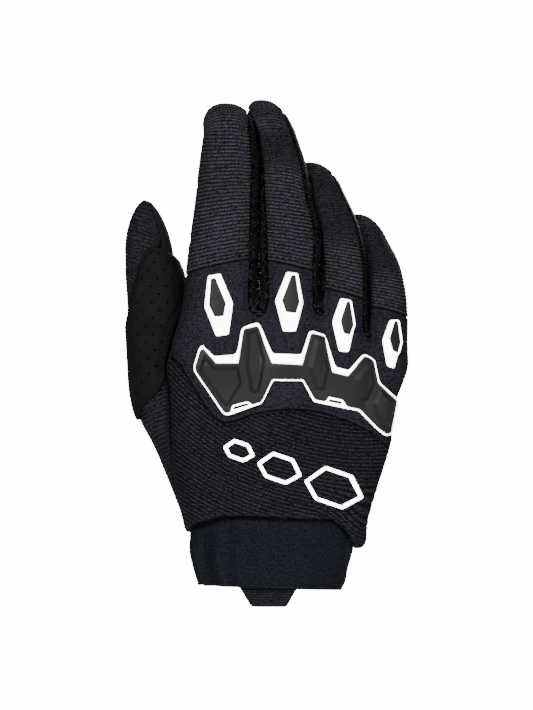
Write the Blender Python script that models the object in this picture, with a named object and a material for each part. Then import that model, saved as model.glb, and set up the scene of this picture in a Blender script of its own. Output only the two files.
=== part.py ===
"""Full-finger motocross glove for the right hand, held up by its cuff.

The back of the hand faces -Y, the fingers point along +Z and the thumb lies towards -X.
Z = 0 is the plane of the cuff's mouth, with the origin at its centre.
The outer face of the hand is one implicit form: a palm and four finger limbs blended together.
The thumb is a limb of its own that meets the palm at a hard seam. Every panel is a sheet on
those forms, cut out along shared seam curves and given its own wall.
All sizes are in millimetres until the meshes are made.
"""

import math

import bpy
import numpy as np
from mathutils.geometry import delaunay_2d_cdt

MM = 0.001

# Main sizes, which the shares in the tables below multiply.
LENGTH = 230.0
WIDTH = 106.0
DEPTH = 40.0

# Walls and clearances.
KNIT_WALL = 1.2
SUEDE_WALL = 1.2
KNUCKLE_WALL = 1.2
MESH_WALL = 1.0
CUFF_WALL = 2.4
PATCH_WALL = 1.2
SEAM_GAP = 0.3
SEAT_GAP = 0.55
GUARD_GAP = 0.85

# Mesh pitch of the large panels, of the knuckle panel, of the patch and guards, of the
# fingers' panels and of the strips between them.
PITCH = 8.0
FINE_PITCH = 6.0
GUARD_PITCH = 4.6
FINGER_STEP = 9.5
FOURCHETTE_STEP = 12.0

# Limbs: (height, left edge, right edge, middle depth, half depth) up each limb.
PALM_ROWS = (
    (0.0435, -0.3538, 0.3585, 0.013, 0.637),
    (0.0783, -0.3660, 0.3821, 0.013, 0.637),
    (0.1217, -0.3792, 0.4208, 0.013, 0.625),
    (0.1826, -0.4113, 0.4350, 0.025, 0.600),
    (0.2609, -0.4340, 0.4840, 0.037, 0.562),
    (0.3478, -0.4440, 0.5400, 0.062, 0.512),
    (0.4348, -0.4340, 0.5400, 0.087, 0.463),
    (0.4870, -0.4245, 0.5700, 0.100, 0.425),
)
INDEX_ROWS = (
    (0.3696, -0.4151, -0.0566, -0.025, 0.375),
    (0.4565, -0.4198, -0.0660, -0.062, 0.375),
    (0.5217, -0.4009, -0.0660, -0.075, 0.362),
    (0.5870, -0.3849, -0.0623, -0.062, 0.350),
    (0.6522, -0.3717, -0.0566, -0.045, 0.338),
    (0.7174, -0.3547, -0.0528, 0.020, 0.325),
    (0.7913, -0.3330, -0.0519, 0.125, 0.312),
    (0.8696, -0.3142, -0.0491, 0.275, 0.295),
    (0.9304, -0.2953, -0.0642, 0.385, 0.275),
)
MIDDLE_ROWS = (
    (0.3696, -0.0377, 0.2264, 0.000, 0.388),
    (0.4565, -0.0377, 0.2264, -0.025, 0.388),
    (0.5217, -0.0396, 0.2226, -0.037, 0.362),
    (0.5870, -0.0377, 0.2189, -0.013, 0.345),
    (0.6522, -0.0420, 0.2189, 0.062, 0.333),
    (0.6957, -0.0500, 0.2255, 0.138, 0.320),
    (0.7435, -0.0510, 0.2198, 0.225, 0.307),
    (0.7913, -0.0540, 0.1906, 0.325, 0.300),
    (0.8696, -0.0610, 0.1585, 0.530, 0.280),
    (0.9304, -0.0790, 0.1160, 0.725, 0.258),
)
RING_ROWS = (
    (0.3696, 0.1887, 0.4151, 0.075, 0.375),
    (0.4565, 0.1981, 0.4245, 0.087, 0.362),
    (0.5217, 0.2075, 0.4321, 0.125, 0.338),
    (0.5870, 0.2151, 0.4330, 0.175, 0.315),
    (0.6391, 0.2198, 0.4330, 0.265, 0.300),
    (0.7043, 0.2094, 0.4170, 0.435, 0.275),
    (0.7435, 0.1906, 0.3943, 0.560, 0.265),
    (0.8130, 0.1283, 0.3264, 0.800, 0.250),
)
LITTLE_ROWS = (
    (0.3696, 0.3585, 0.5660, 0.200, 0.350),
    (0.4565, 0.3868, 0.5943, 0.250, 0.325),
    (0.5130, 0.4057, 0.6094, 0.350, 0.300),
    (0.5522, 0.4132, 0.6113, 0.435, 0.287),
    (0.5957, 0.4113, 0.6075, 0.535, 0.275),
    (0.6304, 0.4028, 0.5953, 0.640, 0.265),
    (0.6696, 0.3849, 0.5717, 0.790, 0.250),
    (0.7130, 0.3509, 0.5226, 0.930, 0.233),
)
THUMB_ROWS = (
    (0.0435, -0.3113, -0.0755, 0.200, 0.350),
    (0.1204, -0.3679, -0.0943, 0.212, 0.375),
    (0.1783, -0.4151, -0.1226, 0.237, 0.400),
    (0.2391, -0.4679, -0.1698, 0.263, 0.412),
    (0.3000, -0.5264, -0.2264, 0.287, 0.412),
    (0.3348, -0.5679, -0.2642, 0.305, 0.408),
    (0.3652, -0.5943, -0.2925, 0.320, 0.400),
    (0.4000, -0.6094, -0.3208, 0.333, 0.390),
    (0.4565, -0.6189, -0.3491, 0.350, 0.375),
    (0.5217, -0.6264, -0.3679, 0.362, 0.360),
    (0.5870, -0.6340, -0.3774, 0.362, 0.345),
    (0.6304, -0.6406, -0.3868, 0.350, 0.330),
    (0.6826, -0.6434, -0.4283, 0.325, 0.305),
)
CUFF_ROWS = (
    (-0.0522, -0.2877, 0.2925, 0.000, 0.600),
    (0.0000, -0.3151, 0.3189, 0.000, 0.613),
    (0.0391, -0.3396, 0.3443, 0.000, 0.615),
    (0.0783, -0.3585, 0.3698, 0.007, 0.605),
    (0.1043, -0.3560, 0.3780, 0.018, 0.558),
    (0.1304, -0.3540, 0.3850, 0.025, 0.545),
    (0.1652, -0.3740, 0.3880, 0.040, 0.525),
)

# How the palm's section turns about the hand's length, as (height share, degrees).
PALM_TURN = ((0.05, 0.0), (0.12, 2.0), (0.26, 6.0), (0.43, 9.0))
# The palm's top falls away towards the little finger: from, over, by.
DROP_FROM, DROP_OVER, DROP_BY = 18.0, 26.0, 11.0
PALM_TOP = 0.6 * LENGTH
# Below the root height the fingers fade into the palm, by this much per unit of height.
FINGER_ROOT, FINGER_FADE = 0.4522 * LENGTH, 0.3
# Height of each limb's tip, how deep the rounded tip is, the lean of its end in X and Y per
# unit of height, and its power.
TIP_HEIGHTS = {
    "index": 0.9913 * LENGTH,
    "middle": 0.9996 * LENGTH,
    "ring": 0.8713 * LENGTH,
    "little": 0.7652 * LENGTH,
    "thumb": 0.7939 * LENGTH,
}
TIP_DEPTHS = {"index": 14.0, "middle": 15.9, "ring": 13.4, "little": 12.0, "thumb": 25.6}
PALM_DEPTH = 26.0
TIP_LEANS = {
    "index": (-0.12, 0.40),
    "middle": (-0.39, 0.50),
    "ring": (-0.42, 0.60),
    "little": (-0.47, 0.55),
    "thumb": (-0.07, -0.10),
}
TIP_POWER = 2.4
THUMB_TIP_POWER = 1.65

# Seams where the fingers meet the hand: middle height, tilt to the right, rise at the back.
FINGER_SEAMS = {
    "index": (0.6543 * LENGTH, 3.5, 1.8),
    "middle": (0.6557 * LENGTH, -3.0, 1.1),
    "ring": (0.6 * LENGTH, -3.1, 0.9),
    "little": (0.5622 * LENGTH, -2.4, 1.8),
}
FINGERS = ("index", "middle", "ring", "little")
# Half angle of the back of a finger, towards its left and right neighbour, in degrees.
BACK_ANGLES = {
    "index": (-80.0, 51.0),
    "middle": (-48.0, 52.0),
    "ring": (-52.0, 56.0),
    "little": (-44.0, 88.0),
}
# Slots between fingers: floor height at the back, in the middle and at the palm, and run-out.
SLOTS = {
    ("index", "middle"): (0.5522 * LENGTH, 0.6065 * LENGTH, 0.5696 * LENGTH, 5.0),
    ("middle", "ring"): (0.5535 * LENGTH, 0.6065 * LENGTH, 0.5696 * LENGTH, 5.0),
    ("ring", "little"): (0.5065 * LENGTH, 0.5543 * LENGTH, 0.5435 * LENGTH, 5.0),
}

# The chart that wraps the hand: how far the fans reach and where side seams run, in degrees.
LEFT_REACH, RIGHT_REACH = 16.0, 11.0

# Borders down the hand: (height, degrees round from the back's middle) on the thumb's side.
LEFT_BORDER = ((20.0, 82.0), (45.0, 78.0), (80.0, 76.0), (108.0, 78.0), (121.0, 78.0), (139.0, 58.0))
INDEX_CORNER = -54.0
RIGHT_BORDER = 88.0
# Where the back panel's hem ends at the left and right, and where its top corner is.
HEM_LEFT, HEM_RIGHT = 0.1174 * LENGTH, 0.0804 * LENGTH
BACK_CORNER, SEAM_RIGHT = 0.4783 * LENGTH, 0.2826 * LENGTH

# The knuckle panel's lower seam and the hem over the cuff, as seen from the front:
# shares of WIDTH across and of LENGTH up.
KNUCKLE_SEAM = (
    (-0.399, 0.458), (-0.355, 0.423), (-0.286, 0.374), (-0.229, 0.344), (-0.168, 0.341),
    (-0.073, 0.356), (0.022, 0.364), (0.115, 0.366), (0.226, 0.360), (0.346, 0.342),
    (0.417, 0.327), (0.470, 0.313), (0.510, 0.294),
)
HEM = (
    (0.380, 0.081), (0.359, 0.100), (0.337, 0.116), (0.284, 0.138), (0.262, 0.140),
    (0.137, 0.141), (-0.022, 0.145), (-0.142, 0.147), (-0.217, 0.145), (-0.253, 0.141),
    (-0.319, 0.132), (-0.360, 0.123),
)

# The thumb: half angle of its back, and the seam under the patch.
THUMB_ROLL = -55.0
THUMB_HALF = 80.0
THUMB_BASE, THUMB_SEAM = 0.113 * LENGTH, 0.4391 * LENGTH
# Corners of the thumb's patch: (degrees round the thumb, height).
PATCH = (
    (26.0, 159.5), (10.0, 160.2), (-6.0, 158.6), (-22.0, 153.5), (-33.0, 147.0), (-44.0, 140.0),
    (-56.0, 133.0), (-72.0, 127.0), (-92.0, 122.5), (-112.0, 119.0), (-118.0, 100.0),
    (-114.0, 84.0), (-92.0, 79.5), (-66.0, 80.0), (-50.0, 84.5), (-24.0, 89.5), (-6.0, 94.0),
    (10.0, 101.0), (22.0, 107.0), (38.0, 112.0), (52.0, 120.0), (66.0, 128.0), (84.0, 138.0),
    (94.0, 146.0), (86.0, 152.5), (56.0, 156.5),
)
PATCH_LIFT = PATCH_WALL + SEAT_GAP

# The cuff and its pull tab.
CUFF_TOP = 36.0
CUFF_FOLDS, FOLD_DEPTH = 5, 0.55
TAB_TOP, TAB_BOTTOM, TAB_WALL = 7.0, -8.8, 1.2
TAB_LEFT, TAB_RIGHT = (-15.0, -8.6), (13.5, 7.4)

# The knuckle guard: its middle as seen from the front, width, height, and rises off the hand.
GUARD_X, GUARD_Z, GUARD_WIDTH, GUARD_HEIGHT = 12.0, 97.5, 94.0, 53.0
FRAME_RISE, CORE_RISE, PAD_RISE, PAD_BEVEL = 1.7, 2.8, 1.5, 1.6
KNUCKLE_OUTLINE = (
    (-0.463, 0.315), (-0.406, 0.212), (-0.303, 0.227), (-0.291, 0.270), (-0.272, 0.460),
    (-0.241, 0.487), (-0.187, 0.508), (-0.174, 0.474), (-0.111, 0.236), (0.027, 0.227),
    (0.064, 0.433), (0.080, 0.437), (0.145, 0.399), (0.157, 0.352), (0.199, 0.121),
    (0.264, 0.094), (0.333, 0.234), (0.396, 0.175), (0.417, -0.008), (0.501, -0.157),
    (0.469, -0.480), (0.443, -0.495), (0.402, -0.438), (0.310, -0.273), (0.088, -0.192),
    (0.031, -0.001), (-0.111, -0.001), (-0.168, -0.205), (-0.333, -0.311), (-0.360, -0.300),
    (-0.501, 0.080), (-0.505, 0.121), (-0.478, 0.283),
)
CORE_OUTLINE = (
    (-0.459, 0.270), (-0.398, 0.141), (-0.283, 0.141), (-0.258, 0.445), (-0.191, 0.467),
    (-0.119, 0.141), (0.035, 0.127), (0.074, 0.406), (0.141, 0.376), (0.180, 0.066),
    (0.260, 0.032), (0.337, 0.202), (0.386, 0.159), (0.405, -0.022), (0.485, -0.169),
    (0.456, -0.460), (0.445, -0.467), (0.407, -0.415), (0.316, -0.247), (0.254, -0.222),
    (0.236, -0.163), (0.159, -0.133), (0.142, -0.181), (0.096, -0.165), (0.038, 0.023),
    (-0.118, 0.023), (-0.176, -0.184), (-0.216, -0.209), (-0.238, -0.176), (-0.319, -0.213),
    (-0.330, -0.280), (-0.353, -0.277), (-0.489, 0.089), (-0.491, 0.120), (-0.469, 0.253),
)
WINDOWS = (
    ((-0.312, -0.261), (-0.306, -0.234), (-0.244, -0.203), (-0.230, -0.217)),
    ((0.159, -0.188), (0.169, -0.166), (0.225, -0.187), (0.232, -0.211)),
)
PADS = (
    (
        (-0.250, 0.426), (-0.196, 0.444), (-0.143, 0.161), (-0.184, -0.115), (-0.225, -0.124),
        (-0.256, 0.129),
    ),
    (
        (0.080, 0.382), (0.135, 0.360), (0.170, 0.085), (0.132, -0.097), (0.085, -0.079),
        (0.051, 0.120),
    ),
    (
        (0.337, 0.175), (0.380, 0.141), (0.396, -0.013), (0.352, -0.186), (0.295, -0.159),
        (0.280, 0.023),
    ),
    ((0.415, -0.062), (0.475, -0.177), (0.450, -0.434), (0.385, -0.310), (0.375, -0.208)),
    (
        (-0.453, 0.235), (-0.405, 0.127), (-0.288, 0.124), (-0.270, -0.031), (-0.333, -0.230),
        (-0.350, -0.239), (-0.475, 0.094),
    ),
)

# Finger guards: middle as seen from the front, then the corners of frame and insert as shares
# of the guard length.
FINGER_GUARD = 29.0
FINGER_FRAME_EDGE, FINGER_FRAME_TOP, INSERT_TOP = 0.9, 2.6, 2.3
FINGER_GUARDS = {
    "index": (
        (-24.0, 132.9),
        (
            (-0.172, 0.475), (0.027, 0.508), (0.225, 0.030), (0.158, -0.479), (-0.041, -0.508),
            (-0.227, -0.032),
        ),
        (
            (-0.116, 0.427), (-0.048, 0.433), (0.108, 0.030), (0.076, -0.181), (-0.065, -0.194),
            (-0.148, -0.008),
        ),
    ),
    "middle": (
        (9.1, 134.4),
        (
            (-0.042, 0.482), (0.138, 0.461), (0.219, -0.022), (0.101, -0.481), (-0.098, -0.481),
            (-0.221, 0.015),
        ),
        (
            (0.033, 0.417), (0.093, 0.417), (0.153, -0.011), (0.101, -0.189), (-0.048, -0.171),
            (-0.103, 0.015),
        ),
    ),
    "ring": (
        (34.4, 123.4),
        (
            (-0.040, 0.438), (0.122, 0.406), (0.178, -0.002), (0.084, -0.437), (-0.070, -0.424),
            (-0.177, 0.046),
        ),
        (
            (0.054, 0.369), (0.099, 0.369), (0.148, -0.002), (0.091, -0.169), (-0.003, -0.139),
            (-0.040, 0.059),
        ),
    ),
    "little": (
        (56.9, 114.5),
        (
            (-0.022, 0.390), (0.103, 0.379), (0.145, 0.006), (0.044, -0.391), (-0.072, -0.354),
            (-0.145, 0.056),
        ),
        (
            (0.041, 0.353), (0.086, 0.347), (0.119, 0.006), (0.075, -0.166), (0.002, -0.130),
            (-0.040, 0.056),
        ),
    ),
}


def smooth_steps(x, low, high):
    """A smooth rise from 0 at low to 1 at high."""
    t = np.clip((x - low) / (high - low), 0.0, 1.0)
    return t * t * (3.0 - 2.0 * t)


def spline(at, knots, values):
    """Cubic interpolation of rows of values over rising knots, held at both ends."""
    slopes = np.gradient(values, knots, axis=0)
    at = np.clip(at, knots[0], knots[-1])
    i = np.clip(np.searchsorted(knots, at, side="right") - 1, 0, len(knots) - 2)
    step = knots[i + 1] - knots[i]
    t = ((at - knots[i]) / step)[..., None]
    step = step[..., None]
    return (
        (2 * t**3 - 3 * t**2 + 1) * values[i]
        + (t**3 - 2 * t**2 + t) * step * slopes[i]
        + (3 * t**2 - 2 * t**3) * values[i + 1]
        + (t**3 - t**2) * step * slopes[i + 1]
    )


class Limb:
    """A tube given by its horizontal sections, closed at the top by a rounded tip."""

    def __init__(
        self, rows, top, tip, lean=(0.0, 0.0), tip_power=TIP_POWER, power=2.2, turn=None, roll=0.0
    ):
        table = np.array(rows) * ((top - tip) / rows[-1][0], WIDTH, WIDTH, DEPTH, DEPTH)
        self.heights = table[:, 0]
        left, right = table[:, 1], table[:, 2]
        self.sizes = np.column_stack(
            [(left + right) / 2, table[:, 3], (right - left) / 2, table[:, 4]]
        )
        self.cap = self.heights[-1]
        self.tip = tip
        self.lean = np.array(lean)
        self.tip_power = tip_power
        self.power = power
        self.turn = turn
        self.roll = roll

    def section(self, z):
        """Centre x, centre y, half width and half depth at each height."""
        sizes = spline(z, self.heights, self.sizes)
        sizes[..., :2] += np.maximum(z - self.cap, 0.0)[..., None] * self.lean
        return sizes

    def field(self, p):
        """Roughly the distance outside the limb, negative inside."""
        z = p[..., 2]
        if self.turn is not None:
            z = z + DROP_BY * smooth_steps(p[..., 0], DROP_FROM, DROP_FROM + DROP_OVER)
        cx, cy, a, b = np.moveaxis(self.section(z), -1, 0)
        dx, dy = p[..., 0] - cx, p[..., 1] - cy
        if self.turn is not None:
            turn = np.radians(np.interp(z, *self.turn))
            dx, dy = dx * np.cos(turn) + dy * np.sin(turn), dy * np.cos(turn) - dx * np.sin(turn)
        flat = (np.abs(dx / a) ** self.power + np.abs(dy / b) ** self.power) ** (1 / self.power)
        over = np.maximum(z - self.cap, 0.0) / self.tip
        whole = (flat**self.tip_power + over**self.tip_power) ** (1 / self.tip_power)
        return (whole - 1.0) * np.minimum(a, b)

    def side_point(self, z, angle):
        """The point on the tube at a height and an angle in degrees, 0 at the back."""
        cx, cy, a, b = np.moveaxis(self.section(z), -1, 0)
        angle = np.radians(np.asarray(angle) + self.roll)
        s, c = np.sin(angle), np.cos(angle)
        r = (np.abs(s) ** self.power + np.abs(c) ** self.power) ** (-1 / self.power)
        return np.stack([cx + a * r * s, cy - b * r * c, z + 0 * cx], axis=-1)

    def tip_point(self, way):
        """The point on the tip that lies along unit directions from the cap's centre."""
        cx, cy, a, b = self.section(np.array(self.cap))
        n, m = self.power, self.tip_power
        s, c = math.sin(math.radians(self.roll)), math.cos(math.radians(self.roll))
        x, y, z = np.moveaxis(way, -1, 0)
        way = np.stack([x * c - y * s, x * s + y * c, z], axis=-1)
        flat = (np.abs(way[..., 0]) ** n + np.abs(way[..., 1]) ** n) ** (1 / n)
        way = way / ((flat**m + np.abs(way[..., 2]) ** m) ** (1 / m))[..., None]
        up = way[..., 2] * self.tip
        return np.stack(
            [
                cx + a * way[..., 0] + up * self.lean[0],
                cy + b * way[..., 1] + up * self.lean[1],
                self.cap + up,
            ],
            axis=-1,
        )


LIMBS = {
    "index": Limb(INDEX_ROWS, TIP_HEIGHTS["index"], TIP_DEPTHS["index"], TIP_LEANS["index"]),
    "middle": Limb(MIDDLE_ROWS, TIP_HEIGHTS["middle"], TIP_DEPTHS["middle"], TIP_LEANS["middle"]),
    "ring": Limb(RING_ROWS, TIP_HEIGHTS["ring"], TIP_DEPTHS["ring"], TIP_LEANS["ring"]),
    "little": Limb(LITTLE_ROWS, TIP_HEIGHTS["little"], TIP_DEPTHS["little"], TIP_LEANS["little"]),
}
THUMB = Limb(
    THUMB_ROWS,
    TIP_HEIGHTS["thumb"],
    TIP_DEPTHS["thumb"],
    TIP_LEANS["thumb"],
    THUMB_TIP_POWER,
    roll=THUMB_ROLL,
)
PALM = Limb(
    PALM_ROWS,
    PALM_TOP,
    PALM_DEPTH,
    power=2.4,
    turn=(
        np.array([share for share, _ in PALM_TURN]) * LENGTH,
        np.array([degrees for _, degrees in PALM_TURN]),
    ),
)
CUFF = Limb(CUFF_ROWS, LENGTH, (1.0 - CUFF_ROWS[-1][0]) * LENGTH, power=2.25)


def hand_field(p):
    """The palm and the four fingers as one form, blended where they meet."""
    palm = PALM.field(p)
    fingers = np.min([LIMBS[name].field(p) for name in FINGERS], axis=0)
    fingers = fingers + FINGER_FADE * np.maximum(FINGER_ROOT - p[..., 2], 0.0)
    blend = 9.0 - 5.5 * smooth_steps(p[..., 2], 98.0, 124.0)
    mix = np.clip(0.5 + 0.5 * (fingers - palm) / blend, 0.0, 1.0)
    return fingers * (1 - mix) + palm * mix - blend * mix * (1 - mix)


def gradient(field, p, step=0.02):
    """The field's gradient at each point."""
    parts = []
    for axis in range(3):
        shift = np.zeros(3)
        shift[axis] = step
        parts.append((field(p + shift) - field(p - shift)) / (2 * step))
    return np.stack(parts, axis=-1)


def normals(field, p):
    """Unit normals pointing out of the form."""
    g = gradient(field, p)
    return g / np.maximum(np.linalg.norm(g, axis=-1, keepdims=True), 1e-9)


def settle(field, p, rounds=8):
    """Points moved along the gradient onto the form's surface."""
    for _ in range(rounds):
        g = gradient(field, p)
        step = field(p)[..., None] * g / np.maximum((g * g).sum(-1, keepdims=True), 0.05)
        p = p - np.clip(step, -2.0, 2.0)
    return p


def ray(field, origin, way, reach=60.0, step=1.5):
    """The first surface point met when leaving the form from origin along way."""
    low = np.zeros(origin.shape[:-1])
    open_yet = np.zeros(low.shape, bool)
    for at in np.arange(step, reach, step):
        open_yet |= field(origin + way * at) >= 0
        low = np.where(open_yet, low, at)
    high = low + step
    for _ in range(24):
        middle = (low + high) / 2
        inside = field(origin + way * middle[..., None]) < 0
        low = np.where(inside, middle, low)
        high = np.where(inside, high, middle)
    return origin + way * low[..., None]


def pivots(z):
    """Where the left and right fans of the hand's chart start."""
    palm, index, little = PALM.section(z), LIMBS["index"].section(z), LIMBS["little"].section(z)
    rise = smooth_steps(z, 100.0, 124.0)
    left = (palm[..., 0] - palm[..., 2]) * (1 - rise) + (index[..., 0] - index[..., 2]) * rise
    right = (palm[..., 0] + palm[..., 2]) * (1 - rise) + (little[..., 0] + little[..., 2]) * rise
    return left + LEFT_REACH, right - RIGHT_REACH


def middle_depth(x, z):
    """The depth that the chart's rays start from, inside the palm or the finger at x."""
    sections = [LIMBS[name].section(z) for name in FINGERS]
    depth = sections[0][..., 1]
    for one, other in zip(sections, sections[1:]):
        share = np.clip((x - one[..., 0]) / (other[..., 0] - one[..., 0]), 0.0, 1.0)
        depth = np.where(x > one[..., 0], one[..., 1] * (1 - share) + other[..., 1] * share, depth)
    return depth


def wrap(q, z, side):
    """The hand's surface point at chart place q, z. Side is -1 for the back, 1 for the palm."""
    left, right = pivots(z)
    turn = np.maximum(q - right, 0) / RIGHT_REACH - np.maximum(left - q, 0) / LEFT_REACH
    x = np.clip(q, left, right)
    origin = np.stack([x, middle_depth(x, z), z], axis=-1)
    way = np.stack([np.sin(turn), side * np.cos(turn), 0 * turn], axis=-1)
    return ray(hand_field, origin, way)


def unwrap(p, side):
    """The chart place of surface points."""
    x, y, z = np.moveaxis(p, -1, 0)
    left, right = pivots(z)
    pivot = np.clip(x, left, right)
    depth = middle_depth(pivot, z)
    turn = np.arctan2(x - pivot, side * (y - depth))
    q = np.where(x > right, right + turn * RIGHT_REACH, x)
    q = np.where(x < left, left + turn * LEFT_REACH, q)
    return np.stack([q, z], axis=-1)


def chart_of_view(x, z):
    """The chart place of points given as seen from the front."""
    left, right = pivots(z)
    turns = np.linspace(0.0, math.pi / 2, 46)[:, None]
    out = np.array(x, float)
    low = wrap(left - turns * LEFT_REACH, np.broadcast_to(z, (46, len(z))), -1)[..., 0]
    high = wrap(right + turns * RIGHT_REACH, np.broadcast_to(z, (46, len(z))), -1)[..., 0]
    for i in range(len(out)):
        if x[i] < left[i]:
            fall = np.minimum.accumulate(low[:, i])
            out[i] = left[i] - np.interp(-x[i], -fall, turns[:, 0]) * LEFT_REACH
        elif x[i] > right[i]:
            rise = np.maximum.accumulate(high[:, i])
            out[i] = right[i] + np.interp(x[i], rise, turns[:, 0]) * RIGHT_REACH
    return np.stack([out, z], axis=-1)


def seam_height(name, angle):
    """Height of a finger's base seam at an angle round it in degrees."""
    middle, tilt, rise = FINGER_SEAMS[name]
    angle = np.radians(angle)
    return middle + tilt * np.sin(angle) + rise * np.cos(angle)


def finger_seam(name, angles, shift=0.0):
    """The base seam of a finger as points on the hand, moved up by shift."""
    limb = LIMBS[name]
    angles = np.asarray(angles, float)
    return settle(hand_field, limb.side_point(seam_height(name, angles) + shift, angles))


def slot_line(pair, share, shift, count=9):
    """The U round a slot at a share of its depth: down the left finger, up the right one.

    It runs between the heights of the fingers' seams, and shift moves it into the slot.
    """
    one, other = (LIMBS[name] for name in pair)
    back, middle, palm, run = SLOTS[pair]
    floor = np.interp(share, (0.0, 0.5, 1.0), (back, middle, palm)) + shift
    run = run * (0.5 + abs(share - 0.5))
    start = BACK_ANGLES[pair[0]][1]
    end = -BACK_ANGLES[pair[1]][0]
    left_angle = start + (180 - 2 * start) * share
    right_angle = -(end + (180 - 2 * end) * share)
    inset = math.degrees(shift / 11.0) * (1 if share == 0 else -1 if share == 1 else 0)
    left_angle += inset
    right_angle -= inset
    tops = (seam_height(pair[0], left_angle), seam_height(pair[1], right_angle))
    down = np.linspace(tops[0], floor + run, count)
    up = np.linspace(floor + run, tops[1], count)
    left = one.side_point(down, left_angle)
    right = other.side_point(up, right_angle)
    t = np.linspace(0, 1, 9)[1:-1, None]
    turn = left[-1] * (1 - t) + right[0] * t
    sag = np.sin(t[:, 0] * math.pi)
    turn[:, 2] = floor + run * (1 - sag**0.8)
    return settle(hand_field, np.concatenate([left, turn, right])), len(left), len(turn)


def inside(points, loops):
    """Whether each point lies inside the loops, counting holes out."""
    result = np.zeros(len(points), bool)
    for loop in loops:
        start, end = loop, np.roll(loop, -1, axis=0)
        for (x0, y0), (x1, y1) in zip(start, end):
            if y0 == y1:
                continue
            crosses = (y0 > points[:, 1]) != (y1 > points[:, 1])
            at = x0 + (points[:, 1] - y0) * (x1 - x0) / (y1 - y0)
            result ^= crosses & (points[:, 0] < at)
    return result


def distance_to_lines(points, loops):
    """Distance from each point to the nearest edge of the loops."""
    best = np.full(len(points), 1e9)
    for loop in loops:
        for start, end in zip(loop, np.roll(loop, -1, axis=0)):
            edge = end - start
            t = np.clip(((points - start) @ edge) / max(edge @ edge, 1e-12), 0, 1)
            best = np.minimum(best, np.linalg.norm(points - start - t[:, None] * edge, axis=1))
    return best


def inset_loop(loop, by):
    """The loop moved inwards by a distance, with mitred corners."""
    loop = np.asarray(loop, float)
    area = np.sum(loop[:, 0] * np.roll(loop[:, 1], -1) - np.roll(loop[:, 0], -1) * loop[:, 1])
    if area < 0:
        by = -by
    before = loop - np.roll(loop, 1, axis=0)
    after = np.roll(loop, -1, axis=0) - loop
    side = [np.stack([-e[:, 1], e[:, 0]], 1) / np.linalg.norm(e, axis=1)[:, None] for e in (before, after)]
    total = side[0] + side[1]
    scale = np.maximum((total * total).sum(1) / 2, 0.35)
    return loop + by * total / scale[:, None]


def densify(loop, pitch):
    """The loop with long edges cut to about the pitch."""
    out = []
    for start, end in zip(loop, np.roll(loop, -1, axis=0)):
        parts = max(1, round(float(np.linalg.norm(end - start)) / pitch))
        out.extend(start + (end - start) * i / parts for i in range(parts))
    return np.array(out)


def triangulate(loops, pitch, lines=()):
    """Flat triangles that fill the loops, following the given lines inside them."""
    loops = [densify(loop, pitch) for loop in loops]
    edge_points = np.concatenate(loops)
    low, high = edge_points.min(0), edge_points.max(0)
    grid = []
    rows = int((high[1] - low[1]) / (pitch * 0.87)) + 2
    for row in range(rows):
        xs = np.arange(low[0] + (row % 2) * pitch / 2, high[0], pitch)
        grid.extend((x, low[1] + row * pitch * 0.87) for x in xs)
    grid = np.array(grid)
    fences = loops + [np.asarray(line, float) for line in lines]
    keep = inside(grid, loops) & (distance_to_lines(grid, fences) > pitch * 0.5)
    points, edges = [], []
    for loop in loops:
        first = len(points)
        points.extend(loop)
        edges.extend((first + i, first + (i + 1) % len(loop)) for i in range(len(loop)))
    for line in lines:
        line = densify(np.asarray(line, float), pitch * 1.5)
        first = len(points)
        points.extend(line)
        edges.extend((first + i, first + (i + 1) % len(line)) for i in range(len(line)))
    points.extend(grid[keep])
    made = delaunay_2d_cdt([tuple(p) for p in points], edges, [], 0, 1e-4)
    flat = np.array([tuple(p) for p in made[0]])
    faces = np.array([face for face in made[2] if len(face) == 3])
    keep = inside(flat[faces].mean(axis=1), loops)
    return flat, faces[keep]


def clip(flat, faces, value):
    """The part of flat triangles where value(flat) is not negative, cut along its zero line."""
    values = value(flat)
    flat, values = list(flat), list(values)
    cuts = {}

    def cut(i, j):
        key = (min(i, j), max(i, j))
        if key not in cuts:
            t = values[i] / (values[i] - values[j])
            cuts[key] = len(flat)
            flat.append(flat[i] * (1 - t) + flat[j] * t)
            values.append(0.0)
        return cuts[key]

    for i, v in enumerate(values):
        if abs(v) < 0.25:
            values[i] = 0.0
    kept = []
    for face in faces:
        loop = []
        for i, j in zip(face, np.roll(face, -1)):
            if values[i] >= 0:
                loop.append(int(i))
            if values[i] * values[j] < 0:
                loop.append(cut(int(i), int(j)))
        if len(loop) >= 3 and any(values[i] > 0 for i in loop):
            kept.extend((loop[0], loop[k], loop[k + 1]) for k in range(1, len(loop) - 1))
    used = sorted({i for face in kept for i in face})
    number = {i: n for n, i in enumerate(used)}
    return np.array([flat[i] for i in used]), np.array([[number[i] for i in f] for f in kept])


def largest_piece(faces):
    """The biggest set of faces that hang together by their edges."""
    parent = list(range(len(faces)))

    def root(i):
        while parent[i] != i:
            parent[i] = parent[parent[i]]
            i = parent[i]
        return i

    first = {}
    for n, face in enumerate(faces):
        for i, j in zip(face, np.roll(face, -1)):
            edge = (min(i, j), max(i, j))
            parent[root(n)] = root(first.setdefault(edge, n))
    roots = np.array([root(n) for n in range(len(faces))])
    names, sizes = np.unique(roots, return_counts=True)
    return [face for face, r in zip(faces, roots) if r == names[sizes.argmax()]]


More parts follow.
